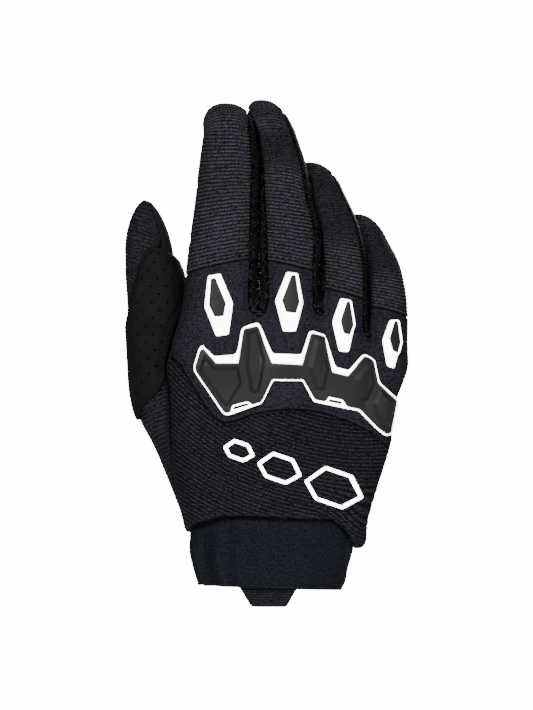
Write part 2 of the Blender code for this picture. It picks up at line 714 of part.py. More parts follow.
def solid(name, outer, inner, faces, material):
    """One closed body between an outer and an inner copy of the same faces."""
    faces = [tuple(int(i) for i in face) for face in largest_piece(faces)]
    used = sorted({i for face in faces for i in face})
    number = {i: n for n, i in enumerate(used)}
    faces = [tuple(number[i] for i in face) for face in faces]
    outer, inner = outer[used], inner[used]
    corner = outer[[face[0] for face in faces]]
    across = outer[[face[1] for face in faces]] - corner
    along = outer[[face[2] for face in faces]] - corner
    lift = (outer - inner)[[face[0] for face in faces]]
    if (np.cross(across, along) * lift).sum() < 0:
        faces = [face[::-1] for face in faces]
    count = len(outer)
    edges = {}
    for face in faces:
        for i, j in zip(face, face[1:] + face[:1]):
            edges[(i, j)] = True
    rim = [(j, i, i + count, j + count) for i, j in edges if (j, i) not in edges]
    back = [tuple(i + count for i in reversed(face)) for face in faces]
    mesh = bpy.data.meshes.new(name)
    points = np.concatenate([outer, inner]) * MM
    mesh.from_pydata([tuple(p) for p in points], [], faces + back + rim)
    mesh.validate()
    mesh.materials.append(material)
    made = bpy.data.objects.new(name, mesh)
    bpy.context.scene.collection.objects.link(made)
    return made


def sheet(name, outer, faces, field, wall, material, lift=0.0):
    """A panel whose outer face is lifted off the form, with its wall inwards."""
    n = normals(field, outer)
    return solid(name, outer + n * lift, outer + n * (lift - wall), faces, material)


def grid_faces(rows, columns):
    """Quads of a grid of points stored row by row."""
    return [
        (r * columns + c, r * columns + c + 1, (r + 1) * columns + c + 1, (r + 1) * columns + c)
        for r in range(rows - 1)
        for c in range(columns - 1)
    ]


def round_way(angles):
    """Level directions at angles in degrees, 0 at the back."""
    angles = np.radians(angles)
    return np.stack([np.sin(angles), -np.cos(angles), 0 * angles], axis=-1)


def over_way(side, lift):
    """Directions over a tip: side angle from the middle, lift from the back, in degrees."""
    side, lift = np.radians(side), np.radians(lift)
    return np.stack(
        [np.sin(side) + 0 * lift, -np.cos(side) * np.cos(lift), np.cos(side) * np.sin(lift)], -1
    )


def unit(v):
    """The vectors scaled to length 1."""
    return v / np.linalg.norm(v, axis=-1, keepdims=True)


def tube_rows(limb, start, angles, field, step):
    """Rows of points up a limb from a start row to the plane where its tip begins."""
    low = start[:, 2]
    count = max(2, round((limb.cap - low.mean()) / step))
    rows = [start]
    for i in range(1, count + 1):
        z = low + (limb.cap - low) * i / count
        rows.append(settle(field, limb.side_point(z, angles)))
    return rows


def finger_back(name, gap):
    """Points of a finger's back, from its base seam over the top of its tip."""
    limb = LIMBS[name]
    low, high = BACK_ANGLES[name]
    edge = math.degrees(gap / 12.0)
    angles = np.linspace(low + edge, high - edge, 8)
    rows = tube_rows(limb, finger_seam(name, angles, gap), angles, hand_field, FINGER_STEP)
    for lift in (30.0, 60.0, 92.0 - edge):
        rows.append(limb.tip_point(over_way(angles, np.full(8, lift))))
    return np.array(rows)


def finger_front(name, gap):
    """Points of a finger's palm side, from its base seam to the seam over its tip."""
    limb = LIMBS[name]
    low, high = BACK_ANGLES[name]
    edge = math.degrees(gap / 12.0)
    right = 180.0 - high if high < 70 else high
    left = -180.0 - low if low > -70 else low
    angles = np.linspace(right + edge, 360.0 + left - edge, 9)
    rows = tube_rows(limb, finger_seam(name, angles, gap), angles, hand_field, FINGER_STEP)
    ends = np.linspace(high - edge, low + edge, 9)
    level = round_way(angles)
    top = over_way(ends, np.full(9, 92.0 + edge))
    share = np.linspace(0.0, 1.0, 9)[:, None]
    bend = 0 * share
    if low < -70:
        bend = bend + share
    if high > 70:
        bend = bend + 1 - share
    for t in (0.33, 0.66, 1.0):
        arc = over_way(ends, np.full(9, 180.0 - (88.0 - edge) * t))
        chord = unit(level * (1 - t) + top * t)
        rows.append(limb.tip_point(unit(arc * (1 - bend) + chord * bend)))
    return np.array(rows)


def side_tip(limb, half, sign, share, steps):
    """Columns of a side strip over a tip: a half disc round the sideways direction."""
    rows = []
    for h in steps:
        along = (1 - 2 * share) * math.sqrt(1 - h * h) * half
        up = h * half
        turn = math.hypot(along, up)
        lean = math.sin(math.radians(turn)) / turn if turn else math.radians(1)
        rows.append(
            limb.tip_point(
                np.array([sign * math.cos(math.radians(turn)), -along * lean, up * lean])
            )
        )
    return rows


def fourchette(pair, gap):
    """Points of the strip between two fingers: down one, round the slot, up the other."""
    one, other = (LIMBS[name] for name in pair)
    steps = (0.94, 0.8, 0.5)
    start, end = BACK_ANGLES[pair[0]][1], -BACK_ANGLES[pair[1]][0]
    edge = math.degrees(gap / 12.0)
    rows = []
    for share in (0.0, 0.33, 0.67, 1.0):
        line, left_count, turn_count = slot_line(pair, share, gap, 5)
        row = side_tip(one, 90 - start - edge, 1.0, share, steps)
        for name, angle, foot, up in (
            (pair[0], start + edge + (180 - 2 * start - 2 * edge) * share, line[0], False),
            (pair[1], -(end + edge + (180 - 2 * end - 2 * edge) * share), line[-1], True),
        ):
            limb = LIMBS[name]
            count = 2 + round((limb.cap - FINGER_SEAMS[name][0]) / FOURCHETTE_STEP)
            heights = np.linspace(limb.cap, foot[2], count)[:-1]
            tube = settle(hand_field, limb.side_point(heights, np.full(len(heights), angle)))
            if up:
                row.extend(tube[::-1])
            else:
                row.extend(tube)
                row.extend(line)
        row.extend(reversed(side_tip(other, 90 - end - edge, -1.0, share, steps)))
        rows.append(np.array(row))
    return np.array(rows)


def material(name, colour, roughness):
    """A plain material for one group of panels."""
    made = bpy.data.materials.new(name)
    made.use_nodes = True
    shader = made.node_tree.nodes["Principled BSDF"]
    shader.inputs["Base Color"].default_value = (*colour, 1.0)
    shader.inputs["Roughness"].default_value = roughness
    shader.inputs["Metallic"].default_value = 0.0
    return made


def palm_angles(name):
    """Start and end of a finger's palm side, going right to left, as angles from the back."""
    low, high = BACK_ANGLES[name]
    return (180.0 - high if high < 70 else high), (180.0 - low if low > -70 else 360.0 + low)


def top_line(side):
    """The lobes and slots along the top of the hand in a chart, from left to right."""
    points = []
    for i, name in enumerate(FINGERS):
        low, high = BACK_ANGLES[name]
        if side > 0:
            high, low = palm_angles(name)
        if name == "index":
            low = INDEX_CORNER % 360.0 if side > 0 else INDEX_CORNER
        points.extend(unwrap(finger_seam(name, np.linspace(low, high, 9)), side))
        if i < 3:
            line, _, _ = slot_line((name, FINGERS[i + 1]), 0.0 if side < 0 else 1.0, 0.0, 5)
            points.extend(unwrap(line[1:-1], side))
    return np.array(points)


def seam_in_chart(table):
    """A seam in the chart, from shares of WIDTH and LENGTH as seen from the front."""
    x, z = (np.array(table) * (WIDTH, LENGTH)).T
    return chart_of_view(x, z)


def levels(low, high, step=5.0):
    """Heights from low to high with the whole steps between them."""
    whole = np.arange(math.ceil((low + 1.0) / step), math.floor((high - 1.0) / step) + 1) * step
    return np.concatenate([[low], whole, [high]])


def left_border(low, high, side):
    """Chart places up the border on the thumb's side, from low to high."""
    z = levels(low, high)
    turn = np.interp(z, *np.array(LEFT_BORDER).T)
    if side > 0:
        turn = 180.0 - turn
    return np.stack([pivots(z)[0] - np.radians(turn) * LEFT_REACH, z], axis=-1)


def right_border(low, high, side):
    """Chart places down the border on the little finger's side, from high to low."""
    z = levels(low, high)[::-1]
    turn = RIGHT_BORDER if side < 0 else 180.0 - RIGHT_BORDER
    return np.stack([pivots(z)[1] + math.radians(turn) * RIGHT_REACH, z], axis=-1)


def hand_panel(name, loop, side, pitch, wall, finish, hole=False):
    """A panel on the hand's chart, with the opening into the thumb cut out if asked."""
    flat, faces = triangulate([inset_loop(loop, SEAM_GAP / 2)], pitch)
    points = wrap(flat[:, 0], flat[:, 1], side)
    if hole:
        points, faces = clip(points, faces, lambda p: THUMB.field(p) + 2.2)
        points = settle(hand_field, points, 2)
    return sheet(name, points, faces, hand_field, wall, finish)


def strip_panel(name, rows, field, wall, finish):
    """A panel from rows of points."""
    faces = grid_faces(rows.shape[0], rows.shape[1])
    return sheet(name, rows.reshape(-1, 3), faces, field, wall, finish)


def clear_of_hand(wall, lift=0.0):
    """How far both faces of a thumb panel stay outside the hand."""

    def value(p):
        n = normals(THUMB.field, p)
        outer, inner = hand_field(p + n * lift), hand_field(p + n * (lift - wall))
        return np.minimum(outer, inner) - SEAM_GAP - 0.1

    return value


def thumb_panel(name, rows, wall, finish):
    """A panel on the thumb, trimmed where the thumb meets the hand."""
    quads = grid_faces(rows.shape[0], rows.shape[1])
    faces = np.array([f for a, b, c, d in quads for f in ((a, b, c), (a, c, d))])
    points, faces = clip(rows.reshape(-1, 3), faces, clear_of_hand(wall))
    return sheet(name, points, faces, THUMB.field, wall, finish)


def thumb_back_rows(gap):
    """The thumb's back from the seam under the patch over its tip."""
    edge = math.degrees(gap / 12.0)
    angles = np.linspace(-THUMB_HALF + edge, THUMB_HALF - edge, 9)
    start = THUMB.side_point(np.full(9, THUMB_SEAM + gap), angles)
    rows = tube_rows(THUMB, start, angles, THUMB.field, 8.0)
    for lift in (22.0, 45.0, 68.0, 92.0 - edge):
        rows.append(THUMB.tip_point(over_way(angles, np.full(9, lift))))
    return np.array(rows)


def thumb_front_rows(gap):
    """The thumb's palm side from the wrist to the seam over its tip."""
    edge = math.degrees(gap / 12.0)
    angles = np.linspace(THUMB_HALF + edge, 360.0 - THUMB_HALF - edge, 11)
    ends = np.linspace(THUMB_HALF - edge, -THUMB_HALF + edge, 11)
    start = THUMB.side_point(np.full(11, THUMB_BASE), angles)
    rows = tube_rows(THUMB, start, angles, THUMB.field, 9.0)
    level = round_way(angles)
    top = over_way(ends, np.full(11, 92.0 + edge))
    for t in (0.25, 0.5, 0.75, 1.0):
        rows.append(THUMB.tip_point(unit(level * (1 - t) + top * t)))
    return np.array(rows)


def gusset_rows(gap):
    """The gusset between the patch, the back panel and the cuff."""
    edge = math.degrees(gap / 12.0)
    angles = np.linspace(-THUMB_HALF + edge, THUMB_HALF - edge, 13)
    heights = np.linspace(THUMB_BASE, THUMB_SEAM - gap, 12)
    return np.array([THUMB.side_point(np.full(13, z), angles) for z in heights])


def thumb_patch(finish):
    """The overlay on the thumb's side, lifted off the panels below it."""
    reach = math.pi / 180 * 13.5
    loop = np.array(PATCH) * (reach, 1.0)
    flat, faces = triangulate([loop], GUARD_PITCH)
    points = THUMB.side_point(flat[:, 1], flat[:, 0] / reach - THUMB_ROLL)
    points, faces = clip(points, faces, clear_of_hand(PATCH_WALL, PATCH_LIFT))
    return sheet("thumb_patch", points, faces, THUMB.field, PATCH_WALL, finish, PATCH_LIFT)


def cuff_point(z, angle, fold=True):
    """The cuff's outer face, with soft folds on the thumb's side."""
    point = CUFF.side_point(z, angle)
    if not fold:
        return point
    turn = (np.asarray(angle) + 90.0 + 180.0) % 360.0 - 180.0
    reach = np.exp(-((turn / 34.0) ** 2)) * (1 - smooth_steps(z, 14.0, 24.0))
    wave = np.cos(np.radians(turn) * CUFF_FOLDS * 2.4) - 1.0
    n = normals(CUFF.field, point)
    return point + n * (FOLD_DEPTH * reach * wave)[..., None]


def make_cuff(finish):
    """The neoprene cuff, a band that runs up inside the hand's lower edge."""
    count = 34
    angles = np.arange(count) * 360.0 / count
    heights = (0.0, 8.0, 16.0, 24.0, 30.0, CUFF_TOP)
    rows = np.array([cuff_point(np.full(count, z), angles) for z in heights])
    faces = []
    for r in range(len(heights) - 1):
        for c in range(count):
            d = (c + 1) % count
            faces.append((r * count + c, r * count + d, (r + 1) * count + d, (r + 1) * count + c))
    return sheet("cuff", rows.reshape(-1, 3), faces, CUFF.field, CUFF_WALL, finish)


def make_tab(finish):
    """The pull tab, hung behind the cuff's hem at the back of the hand."""
    rows = []
    for z, left, right in (
        (TAB_TOP, TAB_LEFT[0], TAB_RIGHT[0]),
        (0.0, TAB_LEFT[0], TAB_RIGHT[0]),
        (-4.0, TAB_LEFT[0] + 2.6, TAB_RIGHT[0] - 2.4),
        (-7.4, TAB_LEFT[0] + 4.8, TAB_RIGHT[0] - 4.4),
        (TAB_BOTTOM, TAB_LEFT[1], TAB_RIGHT[1]),
    ):
        x = np.linspace(left, right, 9)
        origin = np.stack([x, 0 * x, 0 * x + z], axis=-1)
        rows.append(ray(CUFF.field, origin, np.broadcast_to((0.0, -1.0, 0.0), origin.shape)))
    rows = np.array(rows)
    faces = grid_faces(*rows.shape[:2])
    lift = -(CUFF_WALL + SEAM_GAP + 0.1)
    return sheet("pull_tab", rows.reshape(-1, 3), faces, CUFF.field, TAB_WALL, finish, lift)


def plate(name, loops, rise, seat, finish, lines=()):
    """A moulded piece on the hand: outlines in the chart, rise above the fabric."""
    flat, faces = triangulate(loops, GUARD_PITCH, lines)
    points = wrap(flat[:, 0], flat[:, 1], -1)
    n = normals(hand_field, points)
    top = rise(flat)
    return solid(name, points + n * top[:, None], points + n * seat, faces, finish)


def charted(table, across, up, x, z):
    """An outline in the chart, from shares of a width and a height as seen from the front."""
    loop = densify(np.array(table) * (across, up) + (x, z), GUARD_PITCH)
    return chart_of_view(loop[:, 0], loop[:, 1])


def knuckle_guard(white, dark):
    """The white frame and the dark core of the guard over the knuckles."""
    place = {"across": GUARD_WIDTH, "up": GUARD_HEIGHT, "x": GUARD_X, "z": GUARD_Z}
    outline = charted(KNUCKLE_OUTLINE, **place)
    core = charted(CORE_OUTLINE, **place)
    windows = [charted(window, **place) for window in WINDOWS]
    pads = [charted(pad, **place) for pad in PADS]
    tops = [inset_loop(pad, PAD_BEVEL) for pad in pads]
    plate(
        "knuckle_guard_frame",
        [outline, inset_loop(core, -SEAT_GAP / 2), *windows],
        lambda p: np.full(len(p), FRAME_RISE),
        GUARD_GAP,
        white,
    )

    def core_rise(p):
        rise = np.full(len(p), CORE_RISE)
        for pad in pads:
            share = np.clip(distance_to_lines(p, [pad]) / PAD_BEVEL, 0, 1) * inside(p, [pad])
            rise = rise + PAD_RISE * share
        return rise

    plate(
        "knuckle_guard_core",
        [inset_loop(core, SEAM_GAP / 2)],
        core_rise,
        GUARD_GAP,
        dark,
        pads + tops,
    )


def finger_guard(name, white, dark):
    """The frame and insert of one finger's guard."""
    (x, z), frame, insert = FINGER_GUARDS[name]
    frame = charted(frame, FINGER_GUARD, FINGER_GUARD, x, z)
    insert = charted(insert, FINGER_GUARD, FINGER_GUARD, x, z)

    def frame_rise(p):
        near, far = distance_to_lines(p, [insert]), distance_to_lines(p, [frame])
        share = far / np.maximum(near + far, 1e-6)
        return FINGER_FRAME_EDGE + (FINGER_FRAME_TOP - FINGER_FRAME_EDGE) * share

    plate(
        f"{name}_guard_frame",
        [frame, inset_loop(insert, -SEAM_GAP / 2)],
        frame_rise,
        SEAT_GAP,
        white,
    )
    plate(
        f"{name}_guard_insert",
        [inset_loop(insert, SEAM_GAP / 2)],
        lambda p: np.full(len(p), INSERT_TOP),
        SEAT_GAP,
        dark,
    )


def main():
    """Makes the glove's thirty pieces in an empty scene."""
    for old in list(bpy.data.objects):
        bpy.data.objects.remove(old, do_unlink=True)
    knit = material("knit", (0.012, 0.013, 0.020), 0.85)
    suede = material("suede", (0.013, 0.013, 0.014), 0.9)
    mesh = material("mesh", (0.014, 0.016, 0.014), 0.8)
    neoprene = material("neoprene", (0.012, 0.014, 0.018), 0.8)
    white = material("white_rubber", (0.86, 0.86, 0.84), 0.45)
    dark = material("dark_rubber", (0.030, 0.032, 0.033), 0.5)

    half = SEAM_GAP / 2
    seam = seam_in_chart(KNUCKLE_SEAM)
    hem = seam_in_chart(HEM)
    back_top = top_line(-1)
    palm_top = top_line(1)
    corner = right_border(SEAM_RIGHT, SEAM_RIGHT + 3.0, -1)[-1:]
    hand_panel(
        "knuckle_panel",
        np.concatenate(
            [
                back_top,
                right_border(SEAM_RIGHT, back_top[-1, 1] - 4.0, -1),
                seam[::-1],
                left_border(BACK_CORNER, back_top[0, 1] - 4.0, -1),
            ]
        ),
        -1,
        FINE_PITCH,
        KNUCKLE_WALL,
        knit,
    )
    hand_panel(
        "back_panel",
        np.concatenate(
            [
                seam,
                corner,
                right_border(HEM_RIGHT, SEAM_RIGHT - 4.0, -1),
                hem,
                left_border(HEM_LEFT, BACK_CORNER, -1),
            ]
        ),
        -1,
        PITCH,
        KNIT_WALL,
        knit,
        hole=True,
    )
    hand_panel(
        "palm_panel",
        np.concatenate(
            [
                palm_top,
                right_border(HEM_RIGHT, palm_top[-1, 1] - 4.0, 1),
                left_border(HEM_LEFT, palm_top[0, 1] - 4.0, 1),
            ]
        ),
        1,
        PITCH,
        SUEDE_WALL,
        suede,
        hole=True,
    )
    for name in FINGERS:
        strip_panel(f"{name}_back", finger_back(name, half), hand_field, KNIT_WALL, knit)
        strip_panel(f"{name}_front", finger_front(name, half), hand_field, SUEDE_WALL, suede)
        finger_guard(name, white, dark)
    for pair in SLOTS:
        strip_panel(
            f"fourchette_{pair[0]}_{pair[1]}", fourchette(pair, half), hand_field, MESH_WALL, mesh
        )
    thumb_panel("thumb_back", thumb_back_rows(half), KNIT_WALL, knit)
    thumb_panel("thumb_front", thumb_front_rows(half), SUEDE_WALL, suede)
    thumb_panel("thumb_gusset", gusset_rows(half), KNIT_WALL, knit)
    thumb_patch(suede)
    make_cuff(neoprene)
    make_tab(neoprene)
    knuckle_guard(white, dark)


main()
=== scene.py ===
"""Dresses the motocross glove: fine cloth panels, moulded guards, stitching and finishes.

The same forms as the solids are rebuilt here at a fine pitch. A palm and four finger limbs are
blended into one form, the thumb is a limb of its own, and each panel is laid on them as a sheet
with its own relief and wall. Sizes are in millimetres until a mesh is made.
"""

from __future__ import annotations

import logging
import math
from collections.abc import Callable, Sequence
from dataclasses import dataclass, field
from enum import Enum

import bmesh
import bpy
import numpy as np
from mathutils import Matrix, Vector
from mathutils.geometry import delaunay_2d_cdt


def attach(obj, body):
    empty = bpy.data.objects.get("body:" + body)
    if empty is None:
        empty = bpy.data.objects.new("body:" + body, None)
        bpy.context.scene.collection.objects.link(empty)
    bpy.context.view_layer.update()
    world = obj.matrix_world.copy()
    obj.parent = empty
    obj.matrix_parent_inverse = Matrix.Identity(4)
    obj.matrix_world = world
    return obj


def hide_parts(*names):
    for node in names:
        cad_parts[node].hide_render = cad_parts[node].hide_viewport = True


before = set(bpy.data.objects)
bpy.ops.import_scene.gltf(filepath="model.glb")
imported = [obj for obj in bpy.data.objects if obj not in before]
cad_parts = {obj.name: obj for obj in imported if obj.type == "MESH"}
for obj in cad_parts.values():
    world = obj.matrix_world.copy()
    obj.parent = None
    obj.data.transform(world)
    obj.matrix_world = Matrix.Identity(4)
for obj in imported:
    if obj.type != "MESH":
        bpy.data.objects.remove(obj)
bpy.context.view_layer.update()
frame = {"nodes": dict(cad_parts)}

LOG = logging.getLogger("glove")
Array = np.ndarray
Form = Callable[[Array], Array]
Table = tuple[tuple[float, ...], ...]

MM = 0.001
LENGTH, WIDTH, DEPTH = 230.0, 106.0, 40.0
THINNEST = 0.2  # The least thickness of a piece.
OVER_TIP = 92.0  # Degrees over a tip from its back to the seam with its palm side.
LIMB_RADIUS = 12.0  # The usual radius of a limb, for gaps given as angles.
SLOT_RADIUS = 11.0  # The same beside a slot between two fingers.
FADE_BELOW, FADE_SLOPE = 104.0, 0.3  # The fingers fade out of the form below this height.
BLEND_WIDE, BLEND_NARROW = 9.0, 3.5  # How far the fingers and the palm melt together.
BLEND_ZONE = (98.0, 124.0)  # The heights between which the blend narrows.
SIDE_DROP = 11.0  # How much lower the palm's sections sit beside the little finger.
SIDE_ZONE = (18.0, 44.0)  # The places across the palm between which they come down.

PALM_ROWS: Table = (
    (0.0435, -0.3538, 0.3585, 0.013, 0.637),
    (0.0783, -0.3660, 0.3821, 0.013, 0.637),
    (0.1217, -0.3792, 0.4208, 0.013, 0.625),
    (0.1826, -0.4113, 0.4350, 0.025, 0.600),
    (0.2609, -0.4340, 0.4840, 0.037, 0.562),
    (0.3478, -0.4440, 0.5400, 0.062, 0.512),
    (0.4348, -0.4340, 0.5400, 0.087, 0.463),
    (0.4870, -0.4245, 0.5700, 0.100, 0.425),
)
INDEX_ROWS: Table = (
    (0.3696, -0.4151, -0.0566, -0.025, 0.375),
    (0.4565, -0.4198, -0.0660, -0.062, 0.375),
    (0.5217, -0.4009, -0.0660, -0.075, 0.362),
    (0.5870, -0.3849, -0.0623, -0.062, 0.350),
    (0.6522, -0.3717, -0.0566, -0.045, 0.338),
    (0.7174, -0.3547, -0.0528, 0.020, 0.325),
    (0.7913, -0.3330, -0.0519, 0.125, 0.312),
    (0.8696, -0.3142, -0.0491, 0.275, 0.295),
    (0.9304, -0.2953, -0.0642, 0.385, 0.275),
)
MIDDLE_ROWS: Table = (
    (0.3696, -0.0377, 0.2264, 0.000, 0.388),
    (0.4565, -0.0377, 0.2264, -0.025, 0.388),
    (0.5217, -0.0396, 0.2226, -0.037, 0.362),
    (0.5870, -0.0377, 0.2189, -0.013, 0.345),
    (0.6522, -0.0420, 0.2189, 0.062, 0.333),
    (0.6957, -0.0500, 0.2255, 0.138, 0.320),
    (0.7435, -0.0510, 0.2198, 0.225, 0.307),
    (0.7913, -0.0540, 0.1906, 0.325, 0.300),
    (0.8696, -0.0610, 0.1585, 0.530, 0.280),
    (0.9304, -0.0790, 0.1160, 0.725, 0.258),
)
RING_ROWS: Table = (
    (0.3696, 0.1887, 0.4151, 0.075, 0.375),
    (0.4565, 0.1981, 0.4245, 0.087, 0.362),
    (0.5217, 0.2075, 0.4321, 0.125, 0.338),
    (0.5870, 0.2151, 0.4330, 0.175, 0.315),
    (0.6391, 0.2198, 0.4330, 0.265, 0.300),
    (0.7043, 0.2094, 0.4170, 0.435, 0.275),
    (0.7435, 0.1906, 0.3943, 0.560, 0.265),
    (0.8130, 0.1283, 0.3264, 0.800, 0.250),
)
LITTLE_ROWS: Table = (
    (0.3696, 0.3585, 0.5660, 0.200, 0.350),
    (0.4565, 0.3868, 0.5943, 0.250, 0.325),
    (0.5130, 0.4057, 0.6094, 0.350, 0.300),
    (0.5522, 0.4132, 0.6113, 0.435, 0.287),
    (0.5957, 0.4113, 0.6075, 0.535, 0.275),
    (0.6304, 0.4028, 0.5953, 0.640, 0.265),
    (0.6696, 0.3849, 0.5717, 0.790, 0.250),
    (0.7130, 0.3509, 0.5226, 0.930, 0.233),
)
THUMB_ROWS: Table = (
    (0.0435, -0.3113, -0.0755, 0.200, 0.350),
    (0.1204, -0.3679, -0.0943, 0.212, 0.375),
    (0.1783, -0.4151, -0.1226, 0.237, 0.400),
    (0.2391, -0.4679, -0.1698, 0.263, 0.412),
    (0.3000, -0.5264, -0.2264, 0.287, 0.412),
    (0.3348, -0.5679, -0.2642, 0.305, 0.408),
    (0.3652, -0.5943, -0.2925, 0.320, 0.400),
    (0.4000, -0.6094, -0.3208, 0.333, 0.390),
    (0.4565, -0.6189, -0.3491, 0.350, 0.375),
    (0.5217, -0.6264, -0.3679, 0.362, 0.360),
    (0.5870, -0.6340, -0.3774, 0.362, 0.345),
    (0.6304, -0.6406, -0.3868, 0.350, 0.330),
    (0.6826, -0.6434, -0.4283, 0.325, 0.305),
)
CUFF_ROWS: Table = (
    (-0.0522, -0.2877, 0.2925, 0.000, 0.600),
    (0.0000, -0.3151, 0.3189, 0.000, 0.613),
    (0.0391, -0.3396, 0.3443, 0.000, 0.615),
    (0.0783, -0.3585, 0.3698, 0.007, 0.605),
    (0.1043, -0.3560, 0.3780, 0.018, 0.558),
    (0.1304, -0.3540, 0.3850, 0.025, 0.545),
    (0.1652, -0.3740, 0.3880, 0.040, 0.525),
)


def smooth_steps(x: Array, low: float, high: float) -> Array:
    """A smooth rise from 0 at low to 1 at high."""
    t = np.clip((x - low) / (high - low), 0.0, 1.0)
    return t * t * (3.0 - 2.0 * t)


def spline(at: Array, knots: Array, values: Array) -> Array:
    """Cubic interpolation of rows of values, held at both ends.

    Args:
        at: Places to read.
        knots: Rising places of the rows.
        values: One row of values for each knot.

    Returns:
        One row of values for each place.
    """
    slopes = np.gradient(values, knots, axis=0)
    at = np.clip(at, knots[0], knots[-1])
    i = np.clip(np.searchsorted(knots, at, side="right") - 1, 0, len(knots) - 2)
    step = knots[i + 1] - knots[i]
    t = ((at - knots[i]) / step)[..., None]
    step = step[..., None]
    return (
        (2 * t**3 - 3 * t**2 + 1) * values[i]
        + (t**3 - 2 * t**2 + t) * step * slopes[i]
        + (3 * t**2 - 2 * t**3) * values[i + 1]
        + (t**3 - t**2) * step * slopes[i + 1]
    )


class Limb:
    """A tube given by its horizontal sections, closed at the top by a rounded tip."""

    def __init__(
        self,
        rows: Table,
        top: float,
        lean: tuple[float, float] = (0.0, 0.0),
        tip_power: float = 2.4,
        power: float = 2.2,
        turn: Table | None = None,
        roll: float = 0.0,
    ) -> None:
        """Reads the table of sections.

        Args:
            rows: Height, left edge, right edge, middle depth and half depth, as shares.
            top: Height of the tip.
            lean: How far the tip's middle moves in X and Y per unit of height.
            tip_power: Roundness of the tip.
            power: Roundness of the sections.
            turn: Share of the length and degrees that the section turns by.
            roll: Degrees that the back of the limb is turned by.
        """
        table = np.array(rows) * (LENGTH, WIDTH, WIDTH, DEPTH, DEPTH)
        self.heights = table[:, 0]
        left, right = table[:, 1], table[:, 2]
        self.sizes = np.column_stack(
            [(left + right) / 2, table[:, 3], (right - left) / 2, table[:, 4]]
        )
        self.cap = float(self.heights[-1])
        self.tip = top - self.cap
        self.lean = np.array(lean)
        self.tip_power = tip_power
        self.power = power
        self.turn = None if turn is None else np.array(turn) * (LENGTH, 1.0)
        self.roll = roll

    def section(self, z: Array) -> Array:
        """Centre x, centre y, half width and half depth at each height."""
        sizes = spline(z, self.heights, self.sizes)
        sizes[..., :2] += np.maximum(z - self.cap, 0.0)[..., None] * self.lean
        return sizes

    def field(self, p: Array) -> Array:
        """Roughly the distance outside the limb, negative inside."""
        z = p[..., 2]
        if self.turn is not None:
            z = z + SIDE_DROP * smooth_steps(p[..., 0], *SIDE_ZONE)
        cx, cy, a, b = np.moveaxis(self.section(z), -1, 0)
        dx, dy = p[..., 0] - cx, p[..., 1] - cy
        if self.turn is not None:
            turn = np.radians(np.interp(z, *self.turn.T))
            dx, dy = dx * np.cos(turn) + dy * np.sin(turn), dy * np.cos(turn) - dx * np.sin(turn)
        flat = (np.abs(dx / a) ** self.power + np.abs(dy / b) ** self.power) ** (1 / self.power)
        over = np.maximum(z - self.cap, 0.0) / self.tip
        whole = (flat**self.tip_power + over**self.tip_power) ** (1 / self.tip_power)
        return (whole - 1.0) * np.minimum(a, b)

    def side_point(self, z: Array, angle: Array) -> Array:
        """The point on the tube at a height and an angle in degrees, 0 at the back."""
        cx, cy, a, b = np.moveaxis(self.section(z), -1, 0)
        angle = np.radians(np.asarray(angle) + self.roll)
        s, c = np.sin(angle), np.cos(angle)
        r = (np.abs(s) ** self.power + np.abs(c) ** self.power) ** (-1 / self.power)
        return np.stack([cx + a * r * s, cy - b * r * c, z + 0 * cx], axis=-1)

    def tip_point(self, way: Array) -> Array:
        """The point on the tip that lies along unit directions from the cap's centre."""
        cx, cy, a, b = self.section(np.array(self.cap))
        n, m = self.power, self.tip_power
        s, c = math.sin(math.radians(self.roll)), math.cos(math.radians(self.roll))
        x, y, z = np.moveaxis(way, -1, 0)
        way = np.stack([x * c - y * s, x * s + y * c, z], axis=-1)
        flat = (np.abs(way[..., 0]) ** n + np.abs(way[..., 1]) ** n) ** (1 / n)
        way = way / ((flat**m + np.abs(way[..., 2]) ** m) ** (1 / m))[..., None]
        up = way[..., 2] * self.tip
        return np.stack(
            [
                cx + a * way[..., 0] + up * self.lean[0],
                cy + b * way[..., 1] + up * self.lean[1],
                self.cap + up,
            ],
            axis=-1,
        )


@dataclass(frozen=True)
class Finger:
    """One finger: its limb, the seam at its base and how its back is ribbed."""

    name: str
    limb: Limb
    seam: tuple[float, float, float]
    back: tuple[float, float]
    plain: tuple[float, float]
    droop: float

    def seam_height(self, angle: Array) -> Array:
        """Height of the base seam at an angle round the finger in degrees."""
        middle, tilt, rise = self.seam
        angle = np.radians(angle)
        return middle + tilt * np.sin(angle) + rise * np.cos(angle)

    def palm_angles(self) -> tuple[float, float]:
        """Start and end of the palm side, going right to left, as angles from the back."""
        low, high = self.back
        return (180.0 - high if high < 70 else high), (180.0 - low if low > -70 else 360.0 + low)


INDEX = Finger(
    "index", Limb(INDEX_ROWS, 228.0, (-0.12, 0.40)), (150.5, 3.5, 1.8), (-80.0, 51.0), (0, 0), 0.03
)
MIDDLE = Finger(
    "middle",
    Limb(MIDDLE_ROWS, 229.9, (-0.39, 0.50)),
    (150.8, -3.0, 1.1),
    (-48.0, 52.0),
    (201.0, 214.0),
    0.08,
)
RING = Finger(
    "ring",
    Limb(RING_ROWS, 200.4, (-0.42, 0.60)),
    (138.0, -3.1, 0.9),
    (-52.0, 56.0),
    (166.0, 193.0),
    0.12,
)
LITTLE = Finger(
    "little",
    Limb(LITTLE_ROWS, 176.0, (-0.47, 0.55)),
    (129.3, -2.4, 1.8),
    (-44.0, 88.0),
    (151.0, 168.0),
    0.12,
)
FINGERS = (INDEX, MIDDLE, RING, LITTLE)
THUMB = Limb(THUMB_ROWS, 182.6, (-0.07, -0.10), 1.65, roll=-55.0)
PALM = Limb(
    PALM_ROWS, 138.0, power=2.4, turn=((0.05, 0.0), (0.12, 2.0), (0.26, 6.0), (0.43, 9.0))
)
CUFF = Limb(CUFF_ROWS, LENGTH, power=2.25)
